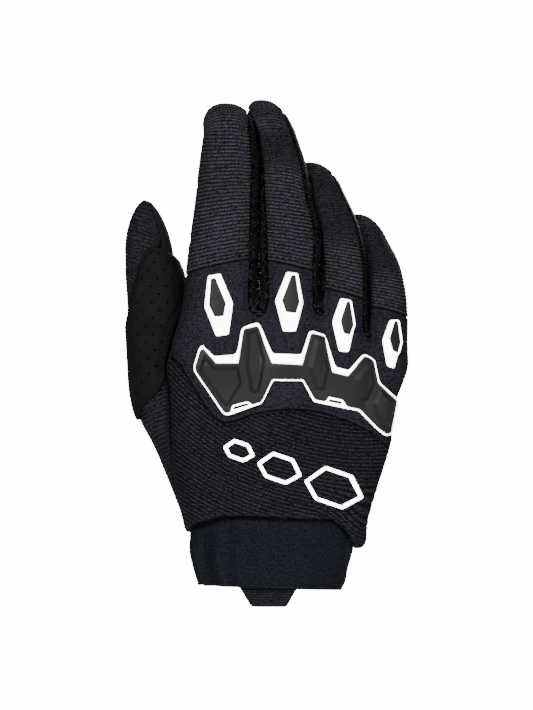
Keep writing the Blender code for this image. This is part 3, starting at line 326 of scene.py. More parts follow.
# Floor height of the slot at the back, in the middle and at the palm, and its run-out.
SLOTS: Table = (
    (127.0, 139.5, 131.0, 5.0), (127.3, 139.5, 131.0, 5.0), (116.5, 127.5, 125.0, 5.0),
)


def hand_field(p: Array) -> Array:
    """The palm and the four fingers as one form, blended where they meet."""
    palm = PALM.field(p)
    fingers = np.min([finger.limb.field(p) for finger in FINGERS], axis=0)
    fingers = fingers + FADE_SLOPE * np.maximum(FADE_BELOW - p[..., 2], 0.0)
    narrowing = smooth_steps(p[..., 2], *BLEND_ZONE)
    blend = BLEND_WIDE - (BLEND_WIDE - BLEND_NARROW) * narrowing
    mix = np.clip(0.5 + 0.5 * (fingers - palm) / blend, 0.0, 1.0)
    return fingers * (1 - mix) + palm * mix - blend * mix * (1 - mix)


def gradient(form: Form, p: Array, step: float = 0.02) -> Array:
    """The form's gradient at each point."""
    parts = []
    for axis in range(3):
        shift = np.zeros(3)
        shift[axis] = step
        parts.append((form(p + shift) - form(p - shift)) / (2 * step))
    return np.stack(parts, axis=-1)


def normals(form: Form, p: Array) -> Array:
    """Unit normals pointing out of the form."""
    g = gradient(form, p)
    return g / np.maximum(np.linalg.norm(g, axis=-1, keepdims=True), 1e-9)


def settle(form: Form, p: Array, rounds: int = 5) -> Array:
    """Points moved along the gradient onto the form's surface."""
    for _ in range(rounds):
        g = gradient(form, p)
        step = form(p)[..., None] * g / np.maximum((g * g).sum(-1, keepdims=True), 0.05)
        p = p - np.clip(step, -2.0, 2.0)
    return p


def ray(form: Form, origin: Array, way: Array, reach: float = 48.0, step: float = 1.5) -> Array:
    """The first surface point met when leaving the form.

    Args:
        form: The form that holds the origins.
        origin: Points inside the form.
        way: Unit direction for each point.
        reach: The farthest surface looked for.
        step: The length of a stride before the last one is halved.

    Returns:
        One surface point for each origin.
    """
    low = np.zeros(origin.shape[:-1])
    out = np.zeros(low.shape, bool)
    for at in np.arange(step, reach, step):
        live = ~out
        if not live.any():
            break
        out[live] = form(origin[live] + way[live] * at) >= 0
        low = np.where(out, low, at)
    high = low + step
    for _ in range(14):
        middle = (low + high) / 2
        within = form(origin + way * middle[..., None]) < 0
        low = np.where(within, middle, low)
        high = np.where(within, high, middle)
    return origin + way * low[..., None]


class Side(Enum):
    """The side of the hand that a chart covers."""

    BACK = -1
    PALM = 1


@dataclass(frozen=True)
class Chart:
    """A flat map of one side of the hand: X across it, and height."""

    side: Side
    left_reach: float = 16.0
    right_reach: float = 11.0

    def pivots(self, z: Array) -> tuple[Array, Array]:
        """Where the fans of rays round the hand's left and right sides start."""
        palm, index, little = PALM.section(z), INDEX.limb.section(z), LITTLE.limb.section(z)
        rise = smooth_steps(z, 100.0, 124.0)
        left = (palm[..., 0] - palm[..., 2]) * (1 - rise) + (index[..., 0] - index[..., 2]) * rise
        right = (palm[..., 0] + palm[..., 2]) * (1 - rise)
        right = right + (little[..., 0] + little[..., 2]) * rise
        return left + self.left_reach, right - self.right_reach

    @staticmethod
    def depth(x: Array, z: Array) -> Array:
        """The depth that the rays start from, inside the palm or the finger at x."""
        sections = [finger.limb.section(z) for finger in FINGERS]
        depth = sections[0][..., 1]
        for one, other in zip(sections, sections[1:]):
            share = np.clip((x - one[..., 0]) / (other[..., 0] - one[..., 0]), 0.0, 1.0)
            between = one[..., 1] * (1 - share) + other[..., 1] * share
            depth = np.where(x > one[..., 0], between, depth)
        return depth

    def wrap(self, flat: Array) -> Array:
        """The hand's surface points at places in the chart."""
        q, z = flat[..., 0], flat[..., 1]
        left, right = self.pivots(z)
        turn = np.maximum(q - right, 0) / self.right_reach
        turn = turn - np.maximum(left - q, 0) / self.left_reach
        x = np.clip(q, left, right)
        origin = np.stack([x, self.depth(x, z), z], axis=-1)
        way = np.stack([np.sin(turn), self.side.value * np.cos(turn), 0 * turn], axis=-1)
        return ray(hand_field, origin, way)

    def unwrap(self, p: Array) -> Array:
        """The chart places of surface points."""
        x, y, z = np.moveaxis(p, -1, 0)
        left, right = self.pivots(z)
        pivot = np.clip(x, left, right)
        turn = np.arctan2(x - pivot, self.side.value * (y - self.depth(pivot, z)))
        q = np.where(x > right, right + turn * self.right_reach, x)
        q = np.where(x < left, left + turn * self.left_reach, q)
        return np.stack([q, z], axis=-1)

    def seen(self, points: Array) -> Array:
        """The chart places of points given as seen from the front."""
        x, z = np.asarray(points, float).T
        left, right = self.pivots(z)
        steps = 46
        turns = np.linspace(0.0, math.pi / 2, steps)[:, None]
        heights = np.broadcast_to(z, (steps, len(z)))
        low = self.wrap(np.stack([left - turns * self.left_reach, heights], -1))[..., 0]
        high = self.wrap(np.stack([right + turns * self.right_reach, heights], -1))[..., 0]
        out = np.array(x, float)
        for i in range(len(out)):
            if x[i] < left[i]:
                fall = np.minimum.accumulate(low[:, i])
                out[i] = left[i] - np.interp(-x[i], -fall, turns[:, 0]) * self.left_reach
            elif x[i] > right[i]:
                rise = np.maximum.accumulate(high[:, i])
                out[i] = right[i] + np.interp(x[i], rise, turns[:, 0]) * self.right_reach
        return np.stack([out, z], axis=-1)


BACK = Chart(Side.BACK)
FRONT = Chart(Side.PALM)


def slot_line(index: int, share: float, shift: float, count: int) -> Array:
    """The U round a slot between two fingers: down the left one, up the right one.

    Args:
        index: Number of the finger on the slot's left.
        share: Place through the slot, from 0 at the back to 1 at the palm.
        shift: Distance into the slot.
        count: Points down each straight side.

    Returns:
        The points.
    """
    one, other = FINGERS[index], FINGERS[index + 1]
    back, middle, palm, run = SLOTS[index]
    floor = float(np.interp(share, (0.0, 0.5, 1.0), (back, middle, palm))) + shift
    run = run * (0.5 + abs(share - 0.5))
    start, end = one.back[1], -other.back[0]
    aside = math.degrees(shift / SLOT_RADIUS) * (1 if share == 0 else -1 if share == 1 else 0)
    left_angle = start + (180 - 2 * start) * share + aside
    right_angle = -(end + (180 - 2 * end) * share) - aside
    down = np.linspace(float(one.seam_height(left_angle)), floor + run, count)
    up = np.linspace(floor + run, float(other.seam_height(right_angle)), count)
    left = one.limb.side_point(down, left_angle)
    right = other.limb.side_point(up, right_angle)
    t = np.linspace(0, 1, 2 * count - 1)[1:-1, None]
    turn = left[-1] * (1 - t) + right[0] * t
    turn[:, 2] = floor + run * (1 - np.sin(t[:, 0] * math.pi) ** 0.8)
    return settle(hand_field, np.concatenate([left, turn, right]), 8)


def inside(points: Array, loops: Sequence[Array]) -> Array:
    """Whether each point lies inside the loops, counting holes out."""
    result = np.zeros(len(points), bool)
    for loop in loops:
        for (x0, y0), (x1, y1) in zip(loop, np.roll(loop, -1, axis=0)):
            if y0 == y1:
                continue
            crosses = (y0 > points[:, 1]) != (y1 > points[:, 1])
            result ^= crosses & (points[:, 0] < x0 + (points[:, 1] - y0) * (x1 - x0) / (y1 - y0))
    return result


def distance(points: Array, lines: Sequence[Array], closed: bool = True) -> Array:
    """Distance from each point to the nearest edge of the lines."""
    best = np.full(len(points), 1e9)
    for line in lines:
        starts, ends = (line, np.roll(line, -1, axis=0)) if closed else (line[:-1], line[1:])
        for start, end in zip(starts, ends):
            edge = end - start
            t = np.clip(((points - start) @ edge) / max(float(edge @ edge), 1e-12), 0, 1)
            away = points - start - t[:, None] * edge
            best = np.minimum(best, (away * away).sum(1))
    return np.sqrt(best)


def inset(loop: Array, by: float) -> Array:
    """The loop moved inwards by a distance, with mitred corners."""
    loop = np.asarray(loop, float)
    area = np.sum(loop[:, 0] * np.roll(loop[:, 1], -1) - np.roll(loop[:, 0], -1) * loop[:, 1])
    by = by if area > 0 else -by
    edges = (loop - np.roll(loop, 1, axis=0), np.roll(loop, -1, axis=0) - loop)
    sides = [
        np.stack([-e[:, 1], e[:, 0]], 1) / np.maximum(np.linalg.norm(e, axis=1), 1e-9)[:, None]
        for e in edges
    ]
    total = sides[0] + sides[1]
    scale = np.maximum((total * total).sum(1) / 2, 0.35)
    return loop + by * total / scale[:, None]


def densify(loop: Array, pitch: float) -> Array:
    """The closed line with long edges cut to about the pitch."""
    out = []
    for start, end in zip(loop, np.roll(loop, -1, axis=0)):
        parts = max(1, round(float(np.linalg.norm(end - start)) / pitch))
        out.extend(start + (end - start) * i / parts for i in range(parts))
    return np.array(out)


def rounded(loop: Array, radius: float, steps: int = 4) -> Array:
    """The loop with its corners rounded to about a radius."""
    out = []
    for before, corner, after in zip(np.roll(loop, 1, axis=0), loop, np.roll(loop, -1, axis=0)):
        back, ahead = before - corner, after - corner
        reach = min(radius, 0.45 * float(np.linalg.norm(back)), 0.45 * float(np.linalg.norm(ahead)))
        start = corner + back / np.linalg.norm(back) * reach
        end = corner + ahead / np.linalg.norm(ahead) * reach
        for t in np.linspace(0, 1, steps):
            out.append(start * (1 - t) ** 2 + corner * 2 * t * (1 - t) + end * t**2)
    return np.array(out)


def triangulate(
    loops: Sequence[Array], pitch: float, lines: Sequence[Array] = ()
) -> tuple[Array, Array]:
    """Flat triangles that fill the loops, following closed lines inside them.

    Args:
        loops: The outline, then any holes.
        pitch: Size of a triangle.
        lines: Closed lines that the triangles follow.

    Returns:
        The flat points and the triangles.
    """
    loops = [densify(loop, pitch) for loop in loops]
    lines = [densify(np.asarray(line, float), pitch) for line in lines]
    low, high = loops[0].min(0), loops[0].max(0)
    rows = int((high[1] - low[1]) / (pitch * 0.87)) + 2
    across = np.arange(low[0], high[0] + pitch, pitch)
    grid = np.concatenate(
        [
            np.stack([across + (row % 2) * pitch / 2, 0 * across + low[1] + row * pitch * 0.87], 1)
            for row in range(rows)
        ]
    )
    keep = inside(grid, loops)
    grid = grid[keep]
    grid = grid[distance(grid, [*loops, *lines]) > pitch * 0.45]
    points: list[Array] = []
    edges: list[tuple[int, int]] = []
    for loop in [*loops, *lines]:
        first = len(points)
        points.extend(loop)
        edges.extend((first + i, first + (i + 1) % len(loop)) for i in range(len(loop)))
    points.extend(grid)
    made = delaunay_2d_cdt([tuple(p) for p in points], edges, [], 0, 1e-5)
    flat = np.array([tuple(p) for p in made[0]])
    faces = np.array([face for face in made[2] if len(face) == 3])
    return flat, faces[inside(flat[faces].mean(axis=1), loops)]


def clip(points: Array, faces: Array, values: Array, more: Array) -> tuple[Array, Array, Array]:
    """The part of a mesh where its values are not negative, cut along their zero line.

    Args:
        points: The mesh's points.
        faces: Its triangles.
        values: One value for each point.
        more: Further columns to carry along for each point.

    Returns:
        The points, the triangles and the further columns of what is left.
    """
    values = np.where(np.abs(values) < 0.04, 0.0, values)
    rows = [np.concatenate([p, m, [v]]) for p, m, v in zip(points, more, values)]
    cuts: dict[tuple[int, int], int] = {}

    def cut(i: int, j: int) -> int:
        """The point where an edge crosses the zero line."""
        key = (min(i, j), max(i, j))
        if key not in cuts:
            t = rows[i][-1] / (rows[i][-1] - rows[j][-1])
            cuts[key] = len(rows)
            rows.append(rows[i] * (1 - t) + rows[j] * t)
            rows[-1][-1] = 0.0
        return cuts[key]

    signs = values[faces]
    kept = [tuple(face) for face in faces[(signs >= 0).all(1) & (signs > 0).any(1)]]
    for face in faces[(signs < 0).any(1) & (signs > 0).any(1)]:
        loop = []
        for i, j in zip(face, np.roll(face, -1)):
            if rows[i][-1] >= 0:
                loop.append(int(i))
            if rows[i][-1] * rows[j][-1] < 0:
                loop.append(cut(int(i), int(j)))
        kept.extend((loop[0], loop[k], loop[k + 1]) for k in range(1, len(loop) - 1))
    used, index = np.unique(np.array(kept), return_inverse=True)
    table = np.array([rows[i] for i in used])
    return table[:, :3], index.reshape(-1, 3), table[:, 3:-1]


@dataclass
class Cloth:
    """One face of a panel on its form, with its map and the distance to its border."""

    points: Array
    faces: Array
    uv: Array
    edge: Array
    form: Form

    @classmethod
    def grid(cls, rows: Array, form: Form) -> Cloth:
        """A cloth from rows of points.

        Args:
            rows: Points as rows, columns and three coordinates.
            form: The form that they lie on.

        Returns:
            The cloth, mapped by its own lengths in millimetres.
        """
        count, wide = rows.shape[:2]
        across = np.linalg.norm(np.diff(rows, axis=1), axis=-1).cumsum(1)
        across = np.concatenate([np.zeros((count, 1)), across], axis=1)
        along = np.linalg.norm(np.diff(rows, axis=0), axis=-1).cumsum(0)
        along = np.concatenate([np.zeros((1, wide)), along], axis=0)
        middle = across - across[:, -1:] / 2
        edge = np.minimum(across, across[:, -1:] - across)
        edge = np.minimum(edge, np.minimum(along, along[-1:] - along))
        along = np.broadcast_to(along[:, wide // 2 : wide // 2 + 1], along.shape)
        index = np.arange(count * wide).reshape(count, wide)
        a, b, c, d = index[:-1, :-1], index[:-1, 1:], index[1:, 1:], index[1:, :-1]
        faces = np.stack([a, b, c, a, c, d], -1).reshape(-1, 3)
        uv = np.stack([middle, along], -1).reshape(-1, 2)
        return cls(rows.reshape(-1, 3), faces, uv, edge.reshape(-1), form)

    @classmethod
    def filled(
        cls, chart: Chart, loops: Sequence[Array], pitch: float, lines: Sequence[Array] = ()
    ) -> Cloth:
        """A cloth that fills loops of a chart.

        Args:
            chart: The side of the hand.
            loops: The outline, then any holes.
            pitch: Size of a triangle.
            lines: Closed lines that the triangles follow.

        Returns:
            The cloth, with the loops as its border.
        """
        flat, faces = triangulate(loops, pitch, lines)
        return cls(chart.wrap(flat), faces, flat, distance(flat, loops), hand_field)

    def trimmed(self, values: Array, border: bool = True) -> Cloth:
        """The part of the cloth where the values are not negative."""
        more = np.column_stack([self.uv, self.edge, values if border else self.edge])
        points, faces, more = clip(self.points, self.faces, values, more)
        edge = np.minimum(more[:, 2], np.maximum(more[:, 3], 0.0))
        return Cloth(points, faces, more[:, :2], edge, self.form)

    def dip(self, depth: float, reach: float) -> Array:
        """How far the cloth sinks towards its seams."""
        return -depth * (1 - np.clip(self.edge / reach, 0, 1)) ** 2


def ridge(x: Array, at: float, width: float) -> Array:
    """A smooth bump, 1 high at its place and gone within about two widths."""
    return np.exp(-(((x - at) / width) ** 2))


def ribs(phase: Array, pitch: float) -> Array:
    """Rounded ribs with narrow valleys, from 0 in a valley to 1 on a crest."""
    return 0.5 - 0.5 * np.cos(2 * math.pi * phase / pitch)


def noise(p: Array, scale: float, seed: int = 0) -> Array:
    """Smooth random-looking waves from -1 to 1 over points, the same every run."""
    total = np.zeros(p.shape[:-1])
    rng = np.random.default_rng(seed)
    for _ in range(6):
        way = rng.normal(size=p.shape[-1])
        total += np.sin(p @ way * (2 * math.pi / scale) * 0.6 + rng.uniform(0, 2 * math.pi))
    return total / 6


@dataclass(frozen=True)
class Dressing:
    """A finish that is ready to use: its material, and the record's slot that it belongs to."""

    material: bpy.types.Material
    slot: str


class Workshop:
    """Makes meshes, maps and walls, and hands each piece to the frame."""

    def __init__(self) -> None:
        """Starts with no pieces."""
        self.made: list[bpy.types.Object] = []

    def finish_piece(
        self, bm: bmesh.types.BMesh, name: str, dressing: Dressing, nodes: Sequence[str] = ()
    ) -> bpy.types.Object:
        """Turns a bmesh into a piece that rides on the frame.

        Args:
            bm: The shape, in metres. It is freed.
            name: Name of the piece.
            dressing: Its material and the record's slot.
            nodes: The solids that it stands for.

        Returns:
            The piece.
        """
        mesh = bpy.data.meshes.new(name)
        for face in bm.faces:
            face.smooth = True
        bm.to_mesh(mesh)
        bm.free()
        mesh.materials.append(dressing.material)
        piece = bpy.data.objects.new(name, mesh)
        bpy.context.scene.collection.objects.link(piece)
        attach(piece, "root")
        if nodes:
            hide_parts(*nodes)
        self.made.append(piece)
        return piece

    def lay(
        self,
        name: str,
        cloth: Cloth,
        height: Array,
        tone: Array | float,
        inner: float,
        dressing: Dressing,
        *nodes: str,
    ) -> bpy.types.Object:
        """Makes a walled piece from a cloth.

        Args:
            name: Name of the piece.
            cloth: The face on its form.
            height: How far each point is lifted off the form.
            tone: Brightness of each point, for the finish: the cloth's own unevenness, and in most
                pieces painted shade in valleys, grooves and creases and painted highlights on
                ridges.
            inner: Height of the inner face above the form, below 0 for a wall that lies inside it.
            dressing: Its material and the record's slot.
            nodes: The solids that it stands for.

        Returns:
            The piece.
        """
        n = normals(cloth.form, cloth.points)
        outer = cloth.points + n * height[:, None]
        under = cloth.points + n * np.minimum(inner, height - THINNEST)[:, None]
        faces = self.outward(outer, cloth.faces, n)
        count = len(outer)
        bm = bmesh.new()
        uv_layer = bm.loops.layers.uv.new("cloth")
        # The tone attribute holds painted shade and painted highlights along with the cloth's own
        # unevenness.
        tone_layer = bm.verts.layers.float.new("tone")
        tones = np.tile(np.broadcast_to(tone, count), 2)
        for p, value in zip(np.concatenate([outer, under]) * MM, tones):
            bm.verts.new(p)[tone_layer] = value
        bm.verts.ensure_lookup_table()
        verts = bm.verts
        uv = np.tile(cloth.uv, (2, 1))
        edges: dict[tuple[int, int], bool] = {}
        for face in faces.tolist():
            for i, j in zip(face, face[1:] + face[:1]):
                edges[(i, j)] = True
        rim = [(j, i, i + count, j + count) for i, j in edges if (j, i) not in edges]
        under_faces = (faces[:, ::-1] + count).tolist()
        for face in faces.tolist() + under_faces + rim:
            made = bm.faces.new([verts[i] for i in face])
            for loop, i in zip(made.loops, face):
                loop[uv_layer].uv = uv[i]
        piece = self.finish_piece(bm, name, dressing, nodes)
        if name.endswith(("_cloth", "_band")):
            self.declare(piece, cloth)
        return piece

    @staticmethod
    def declare(
        piece: bpy.types.Object, cloth: Cloth, more: Sequence[bpy.types.Object] = ()
    ) -> None:
        """Works out what size the cloth was cut to before it was sewn over the hand's form, and
        keeps nothing.

        Args:
            piece: The piece. Not used.
            cloth: The face that it was laid from.
            more: Smaller pieces sewn on it. Not used.
        """
        a, b, c = (cloth.points[cloth.faces[:, i]] * MM for i in range(3))
        area = float(np.linalg.norm(np.cross(b - a, c - a), axis=1).sum() / 2)
        width, length = np.ptp(cloth.uv, axis=0) * MM
        length = max(length, area / width)

    @staticmethod
    def outward(points: Array, faces: Array, n: Array) -> Array:
        """The faces turned so that they look along the normals."""
        a, b, c = (points[faces[:, i]] for i in range(3))
        facing = (np.cross(b - a, c - a) * n[faces[:, 0]]).sum()
        return faces if facing > 0 else faces[:, ::-1]


SHOP = Workshop()


def group(
    name: str,
    build: Callable[..., None],
    ins: Sequence[tuple[str, str, float]],
    outs: Sequence[str],
) -> bpy.types.NodeTree:
    """A shader node group with named sockets.

    Args:
        name: Name of the group.
        build: Fills the tree, given the tree and its input and output nodes.
        ins: Name, socket type and default of each input.
        outs: Names of the float outputs.

    Returns:
        The node group.
    """
    tree = bpy.data.node_groups.new(name, "ShaderNodeTree")
    for label, kind, default in ins:
        socket = tree.interface.new_socket(label, in_out="INPUT", socket_type=kind)
        if kind == "NodeSocketFloat":
            socket.default_value = default
    for label in outs:
        tree.interface.new_socket(label, in_out="OUTPUT", socket_type="NodeSocketFloat")
    build(tree, tree.nodes.new("NodeGroupInput"), tree.nodes.new("NodeGroupOutput"))
    return tree


def math_node(
    tree: bpy.types.NodeTree,
    operation: str,
    values: Sequence[float | bpy.types.NodeSocket],
    clamp: bool = False,
) -> bpy.types.NodeSocket:
    """A math node's output, from sockets or numbers."""
    node = tree.nodes.new("ShaderNodeMath")
    node.operation = operation
    node.use_clamp = clamp
    for socket, value in zip(node.inputs, values):
        if isinstance(value, bpy.types.NodeSocket):
            tree.links.new(value, socket)
        else:
            socket.default_value = value
    return node.outputs[0]


def noise_texture(
    tree: bpy.types.NodeTree,
    vector: bpy.types.NodeSocket,
    detail: float,
    scale: float | bpy.types.NodeSocket,
) -> bpy.types.NodeSocket:
    """A noise texture's grey output.

    Args:
        tree: The tree that it goes into.
        vector: Where it is read.
        detail: How many finer layers it has.
        scale: Its scale, as a number or a socket.

    Returns:
        The output.
    """
    made = tree.nodes.new("ShaderNodeTexNoise")
    made.inputs["Detail"].default_value = detail
    tree.links.new(vector, made.inputs["Vector"])
    if isinstance(scale, bpy.types.NodeSocket):
        tree.links.new(scale, made.inputs["Scale"])
    else:
        made.inputs["Scale"].default_value = scale
    return made.outputs["Fac"]


def fill_weave(tree: bpy.types.NodeTree, into: bpy.types.Node, out: bpy.types.Node) -> None:
    """Staggered rows of stitches, with a little unevenness."""
    brick = tree.nodes.new("ShaderNodeTexBrick")
    brick.offset = 0.5
    brick.inputs["Color1"].default_value = (1, 1, 1, 1)
    brick.inputs["Color2"].default_value = (0.3, 0.3, 0.3, 1)
    brick.inputs["Mortar"].default_value = (0, 0, 0, 1)
    brick.inputs["Scale"].default_value = 1.0
    brick.inputs["Mortar Smooth"].default_value = 1.0
    brick.inputs["Mortar Size"].default_value = 0.24
    tree.links.new(into.outputs["Vector"], brick.inputs["Vector"])
    tree.links.new(into.outputs["Stitch width"], brick.inputs["Brick Width"])
    tree.links.new(into.outputs["Stitch height"], brick.inputs["Row Height"])
    fuzz = noise_texture(tree, into.outputs["Vector"], 3.0, 0.95)
    broad = noise_texture(tree, into.outputs["Vector"], 2.0, 0.09)
    height = math_node(tree, "MULTIPLY_ADD", (fuzz, 0.5, brick.outputs["Color"]))
    tree.links.new(height, out.inputs["Height"])
    clouds = math_node(tree, "MULTIPLY_ADD", (broad, 0.3, -0.95))
    shade = math_node(tree, "MULTIPLY_ADD", (fuzz, 2.0, clouds))
    mixed = math_node(tree, "MULTIPLY_ADD", (brick.outputs["Color"], 0.9, shade))
    tree.links.new(mixed, out.inputs["Tone"])


def fill_nap(tree: bpy.types.NodeTree, into: bpy.types.Node, out: bpy.types.Node) -> None:
    """The short nap of suede: fine grain over soft clouds."""
    fine = noise_texture(tree, into.outputs["Vector"], 4.0, into.outputs["Grain"])
    fine.node.inputs["Roughness"].default_value = 0.7
    cloud = noise_texture(tree, into.outputs["Vector"], 3.0, 0.16)
    tree.links.new(fine, out.inputs["Height"])
    clouds = math_node(tree, "MULTIPLY", (cloud, 0.5))
    tree.links.new(math_node(tree, "MULTIPLY_ADD", (fine, 0.6, clouds)), out.inputs["Tone"])


def fill_net(tree: bpy.types.NodeTree, into: bpy.types.Node, out: bpy.types.Node) -> None:
    """A thick net: round bumps of yarn with dark gaps between them."""
    cells = tree.nodes.new("ShaderNodeTexVoronoi")
    cells.feature = "F1"
    cells.inputs["Randomness"].default_value = 0.45
    tree.links.new(into.outputs["Vector"], cells.inputs["Vector"])
    tree.links.new(into.outputs["Holes per mm"], cells.inputs["Scale"])
    fuzz = noise_texture(tree, into.outputs["Vector"], 3.0, 1.7)
    bump = math_node(tree, "MULTIPLY_ADD", (cells.outputs["Distance"], -1.9, 1.0), True)
    tree.links.new(bump, out.inputs["Height"])
    yarn = math_node(tree, "POWER", (bump, 1.6))
    tree.links.new(math_node(tree, "MULTIPLY", (yarn, fuzz)), out.inputs["Tone"])


class Effects:
    """The node groups that the finishes share."""

    def __init__(self) -> None:
        """Builds each group once."""
        vector = ("Vector", "NodeSocketVector", 0.0)
        self.weave = group(
            "knitted weave",
            fill_weave,
            [
                vector,
                ("Stitch width", "NodeSocketFloat", 1.4),
                ("Stitch height", "NodeSocketFloat", 0.9),
            ],
            ["Height", "Tone"],
        )
        self.nap = group(
            "suede nap", fill_nap, [vector, ("Grain", "NodeSocketFloat", 3.0)], ["Height", "Tone"]
        )
        holes = ("Holes per mm", "NodeSocketFloat", 0.6)
        self.net = group("open net", fill_net, [vector, holes], ["Height", "Tone"])


@dataclass(frozen=True)
class ClothFinish:
    """A textile: its dark and light colours, its surface pattern and its sheen."""

    name: str
    dark: tuple[float, float, float]
    light: tuple[float, float, float]
    sheen_tint: tuple[float, float, float]
    bump: float
    depth: float
    values: tuple[tuple[str, float], ...] = ()
    sheen: float = 0.0005
    roughness: float = 0.8
    gloss: float = 0.004

    def build(self, effect: bpy.types.NodeTree) -> bpy.types.Material:
        """The material, with its pattern from one of the shared effects.

        Args:
            effect: The node group that draws the pattern.

        Returns:
            The material.
        """
        made = bpy.data.materials.new(self.name)
        made.use_nodes = True
        tree = made.node_tree
        shader = tree.nodes["Principled BSDF"]
        shader.inputs["Roughness"].default_value = self.roughness
        shader.inputs["Sheen Weight"].default_value = self.sheen
        shader.inputs["Sheen Roughness"].default_value = 0.45
        shader.inputs["Sheen Tint"].default_value = (*self.sheen_tint, 1.0)
        shader.inputs["Specular IOR Level"].default_value = self.gloss
        uv = tree.nodes.new("ShaderNodeUVMap")
        uv.uv_map = "cloth"
        pattern = tree.nodes.new("ShaderNodeGroup")
        pattern.node_tree = effect
        for label, value in self.values:
            pattern.inputs[label].default_value = value
        tree.links.new(uv.outputs["UV"], pattern.inputs["Vector"])
        # The tone attribute, with its painted shade and highlights, times the pattern's tone moves
        # the colour from dark to light.
        tone = tree.nodes.new("ShaderNodeAttribute")
        tone.attribute_name = "tone"
        tones = (pattern.outputs["Tone"], tone.outputs["Fac"])
        level = math_node(tree, "MULTIPLY", tones, True)
        mix = tree.nodes.new("ShaderNodeMix")
        mix.data_type = "RGBA"
        mix.inputs["A"].default_value = (*self.dark, 1.0)
        mix.inputs["B"].default_value = (*self.light, 1.0)
        tree.links.new(level, mix.inputs["Factor"])
        tree.links.new(mix.outputs["Result"], shader.inputs["Base Color"])
        bump = tree.nodes.new("ShaderNodeBump")
        bump.inputs["Strength"].default_value = self.bump
        bump.inputs["Distance"].default_value = self.depth * MM
        tree.links.new(pattern.outputs["Height"], bump.inputs["Height"])
        tree.links.new(bump.outputs["Normal"], shader.inputs["Normal"])
        return made


@dataclass(frozen=True)
class RubberFinish:
    """Moulded or printed rubber: its colour, its gloss and a fine grain."""

    name: str
    colour: tuple[float, float, float]
    roughness: float
    grain: float
    gloss: float
    unevenness: float = 0.06

    def build(self) -> bpy.types.Material:
        """The material, with faint clouds in its colour and gloss."""
        made = bpy.data.materials.new(self.name)
        made.use_nodes = True
        tree = made.node_tree
        shader = tree.nodes["Principled BSDF"]
        shader.inputs["Specular IOR Level"].default_value = self.gloss
        place = tree.nodes.new("ShaderNodeTexCoord")
        grain = noise_texture(tree, place.outputs["Object"], 2.0, 1800.0)
        cloud = noise_texture(tree, place.outputs["Object"], 3.0, 90.0)
        mix = tree.nodes.new("ShaderNodeMix")
        mix.data_type = "RGBA"
        mix.inputs["A"].default_value = (*(c * 0.93 for c in self.colour), 1.0)
        mix.inputs["B"].default_value = (*self.colour, 1.0)
        tree.links.new(cloud, mix.inputs["Factor"])
        tree.links.new(mix.outputs["Result"], shader.inputs["Base Color"])
        rough = tree.nodes.new("ShaderNodeMapRange")
        rough.inputs["To Min"].default_value = self.roughness - self.unevenness
        rough.inputs["To Max"].default_value = self.roughness + self.unevenness
        tree.links.new(cloud, rough.inputs["Value"])
        tree.links.new(rough.outputs["Result"], shader.inputs["Roughness"])
        bump = tree.nodes.new("ShaderNodeBump")
        bump.inputs["Strength"].default_value = self.grain
        bump.inputs["Distance"].default_value = 0.05 * MM
        tree.links.new(grain, bump.inputs["Height"])
        tree.links.new(bump.outputs["Normal"], shader.inputs["Normal"])
        return made


class Finishes:
    """Every finish of the glove, ready to use."""

    def __init__(self) -> None:
        """Builds the shared effects, then each finish."""
        effects = Effects()
        blue, green, plain = (0.6, 0.65, 0.9), (0.8, 1.0, 0.85), (1, 1, 1)
        small = (("Stitch width", 1.7), ("Stitch height", 0.925))
        fine = (("Stitch width", 1.1), ("Stitch height", 0.7))
        smooth = (("Stitch width", 1.0), ("Stitch height", 0.8))
        dark, light = (0.0, 0.0, 0.0002), (0.0080, 0.0080, 0.0098)
        knit = ClothFinish("ribbed knit", dark, light, blue, 0.8, 0.4, small)
        dark, light = (0.0002, 0.0002, 0.0005), (0.0040, 0.0040, 0.0052)
        panel = ClothFinish("fine knit", dark, light, blue, 0.5, 0.2, fine)
        dark, light = (0.0002, 0.0002, 0.0002), (0.0020, 0.0020, 0.0020)
        suede = ClothFinish("suede", dark, light, plain, 0.5, 0.3)
        dark, light = (0.0, 0.0, 0.0), (0.12, 0.13, 0.125)
        net = ClothFinish("net", dark, light, green, 1.0, 0.9, (("Holes per mm", 0.75),))
        dark, light = (0.0003, 0.0004, 0.0007), (0.0019, 0.0021, 0.0028)
        neoprene = ClothFinish("neoprene jersey", dark, light, blue, 0.35, 0.15, smooth)
        white = RubberFinish("white rubber", (0.93, 0.93, 0.925), 0.42, 0.15, 0.4)
        black = RubberFinish("dark rubber", (0.0020, 0.0021, 0.0022), 0.5, 0.3, 0.018)
        thread = RubberFinish("black thread", (0.0003, 0.0003, 0.0005), 0.8, 0.6, 0.002)
        self.knit = Dressing(knit.build(effects.weave), "knit")
        self.panel = Dressing(panel.build(effects.weave), "knit")
        self.suede = Dressing(suede.build(effects.nap), "suede")
        self.net = Dressing(net.build(effects.net), "mesh")
        self.neoprene = Dressing(neoprene.build(effects.weave), "neoprene")
        self.tab = Dressing(self.knit.material, "neoprene")
        self.white = Dressing(white.build(), "white_rubber")
        self.dark = Dressing(black.build(), "dark_rubber")
        self.thread = Dressing(thread.build(), "knit")
        self.patch_thread = Dressing(self.thread.material, "suede")


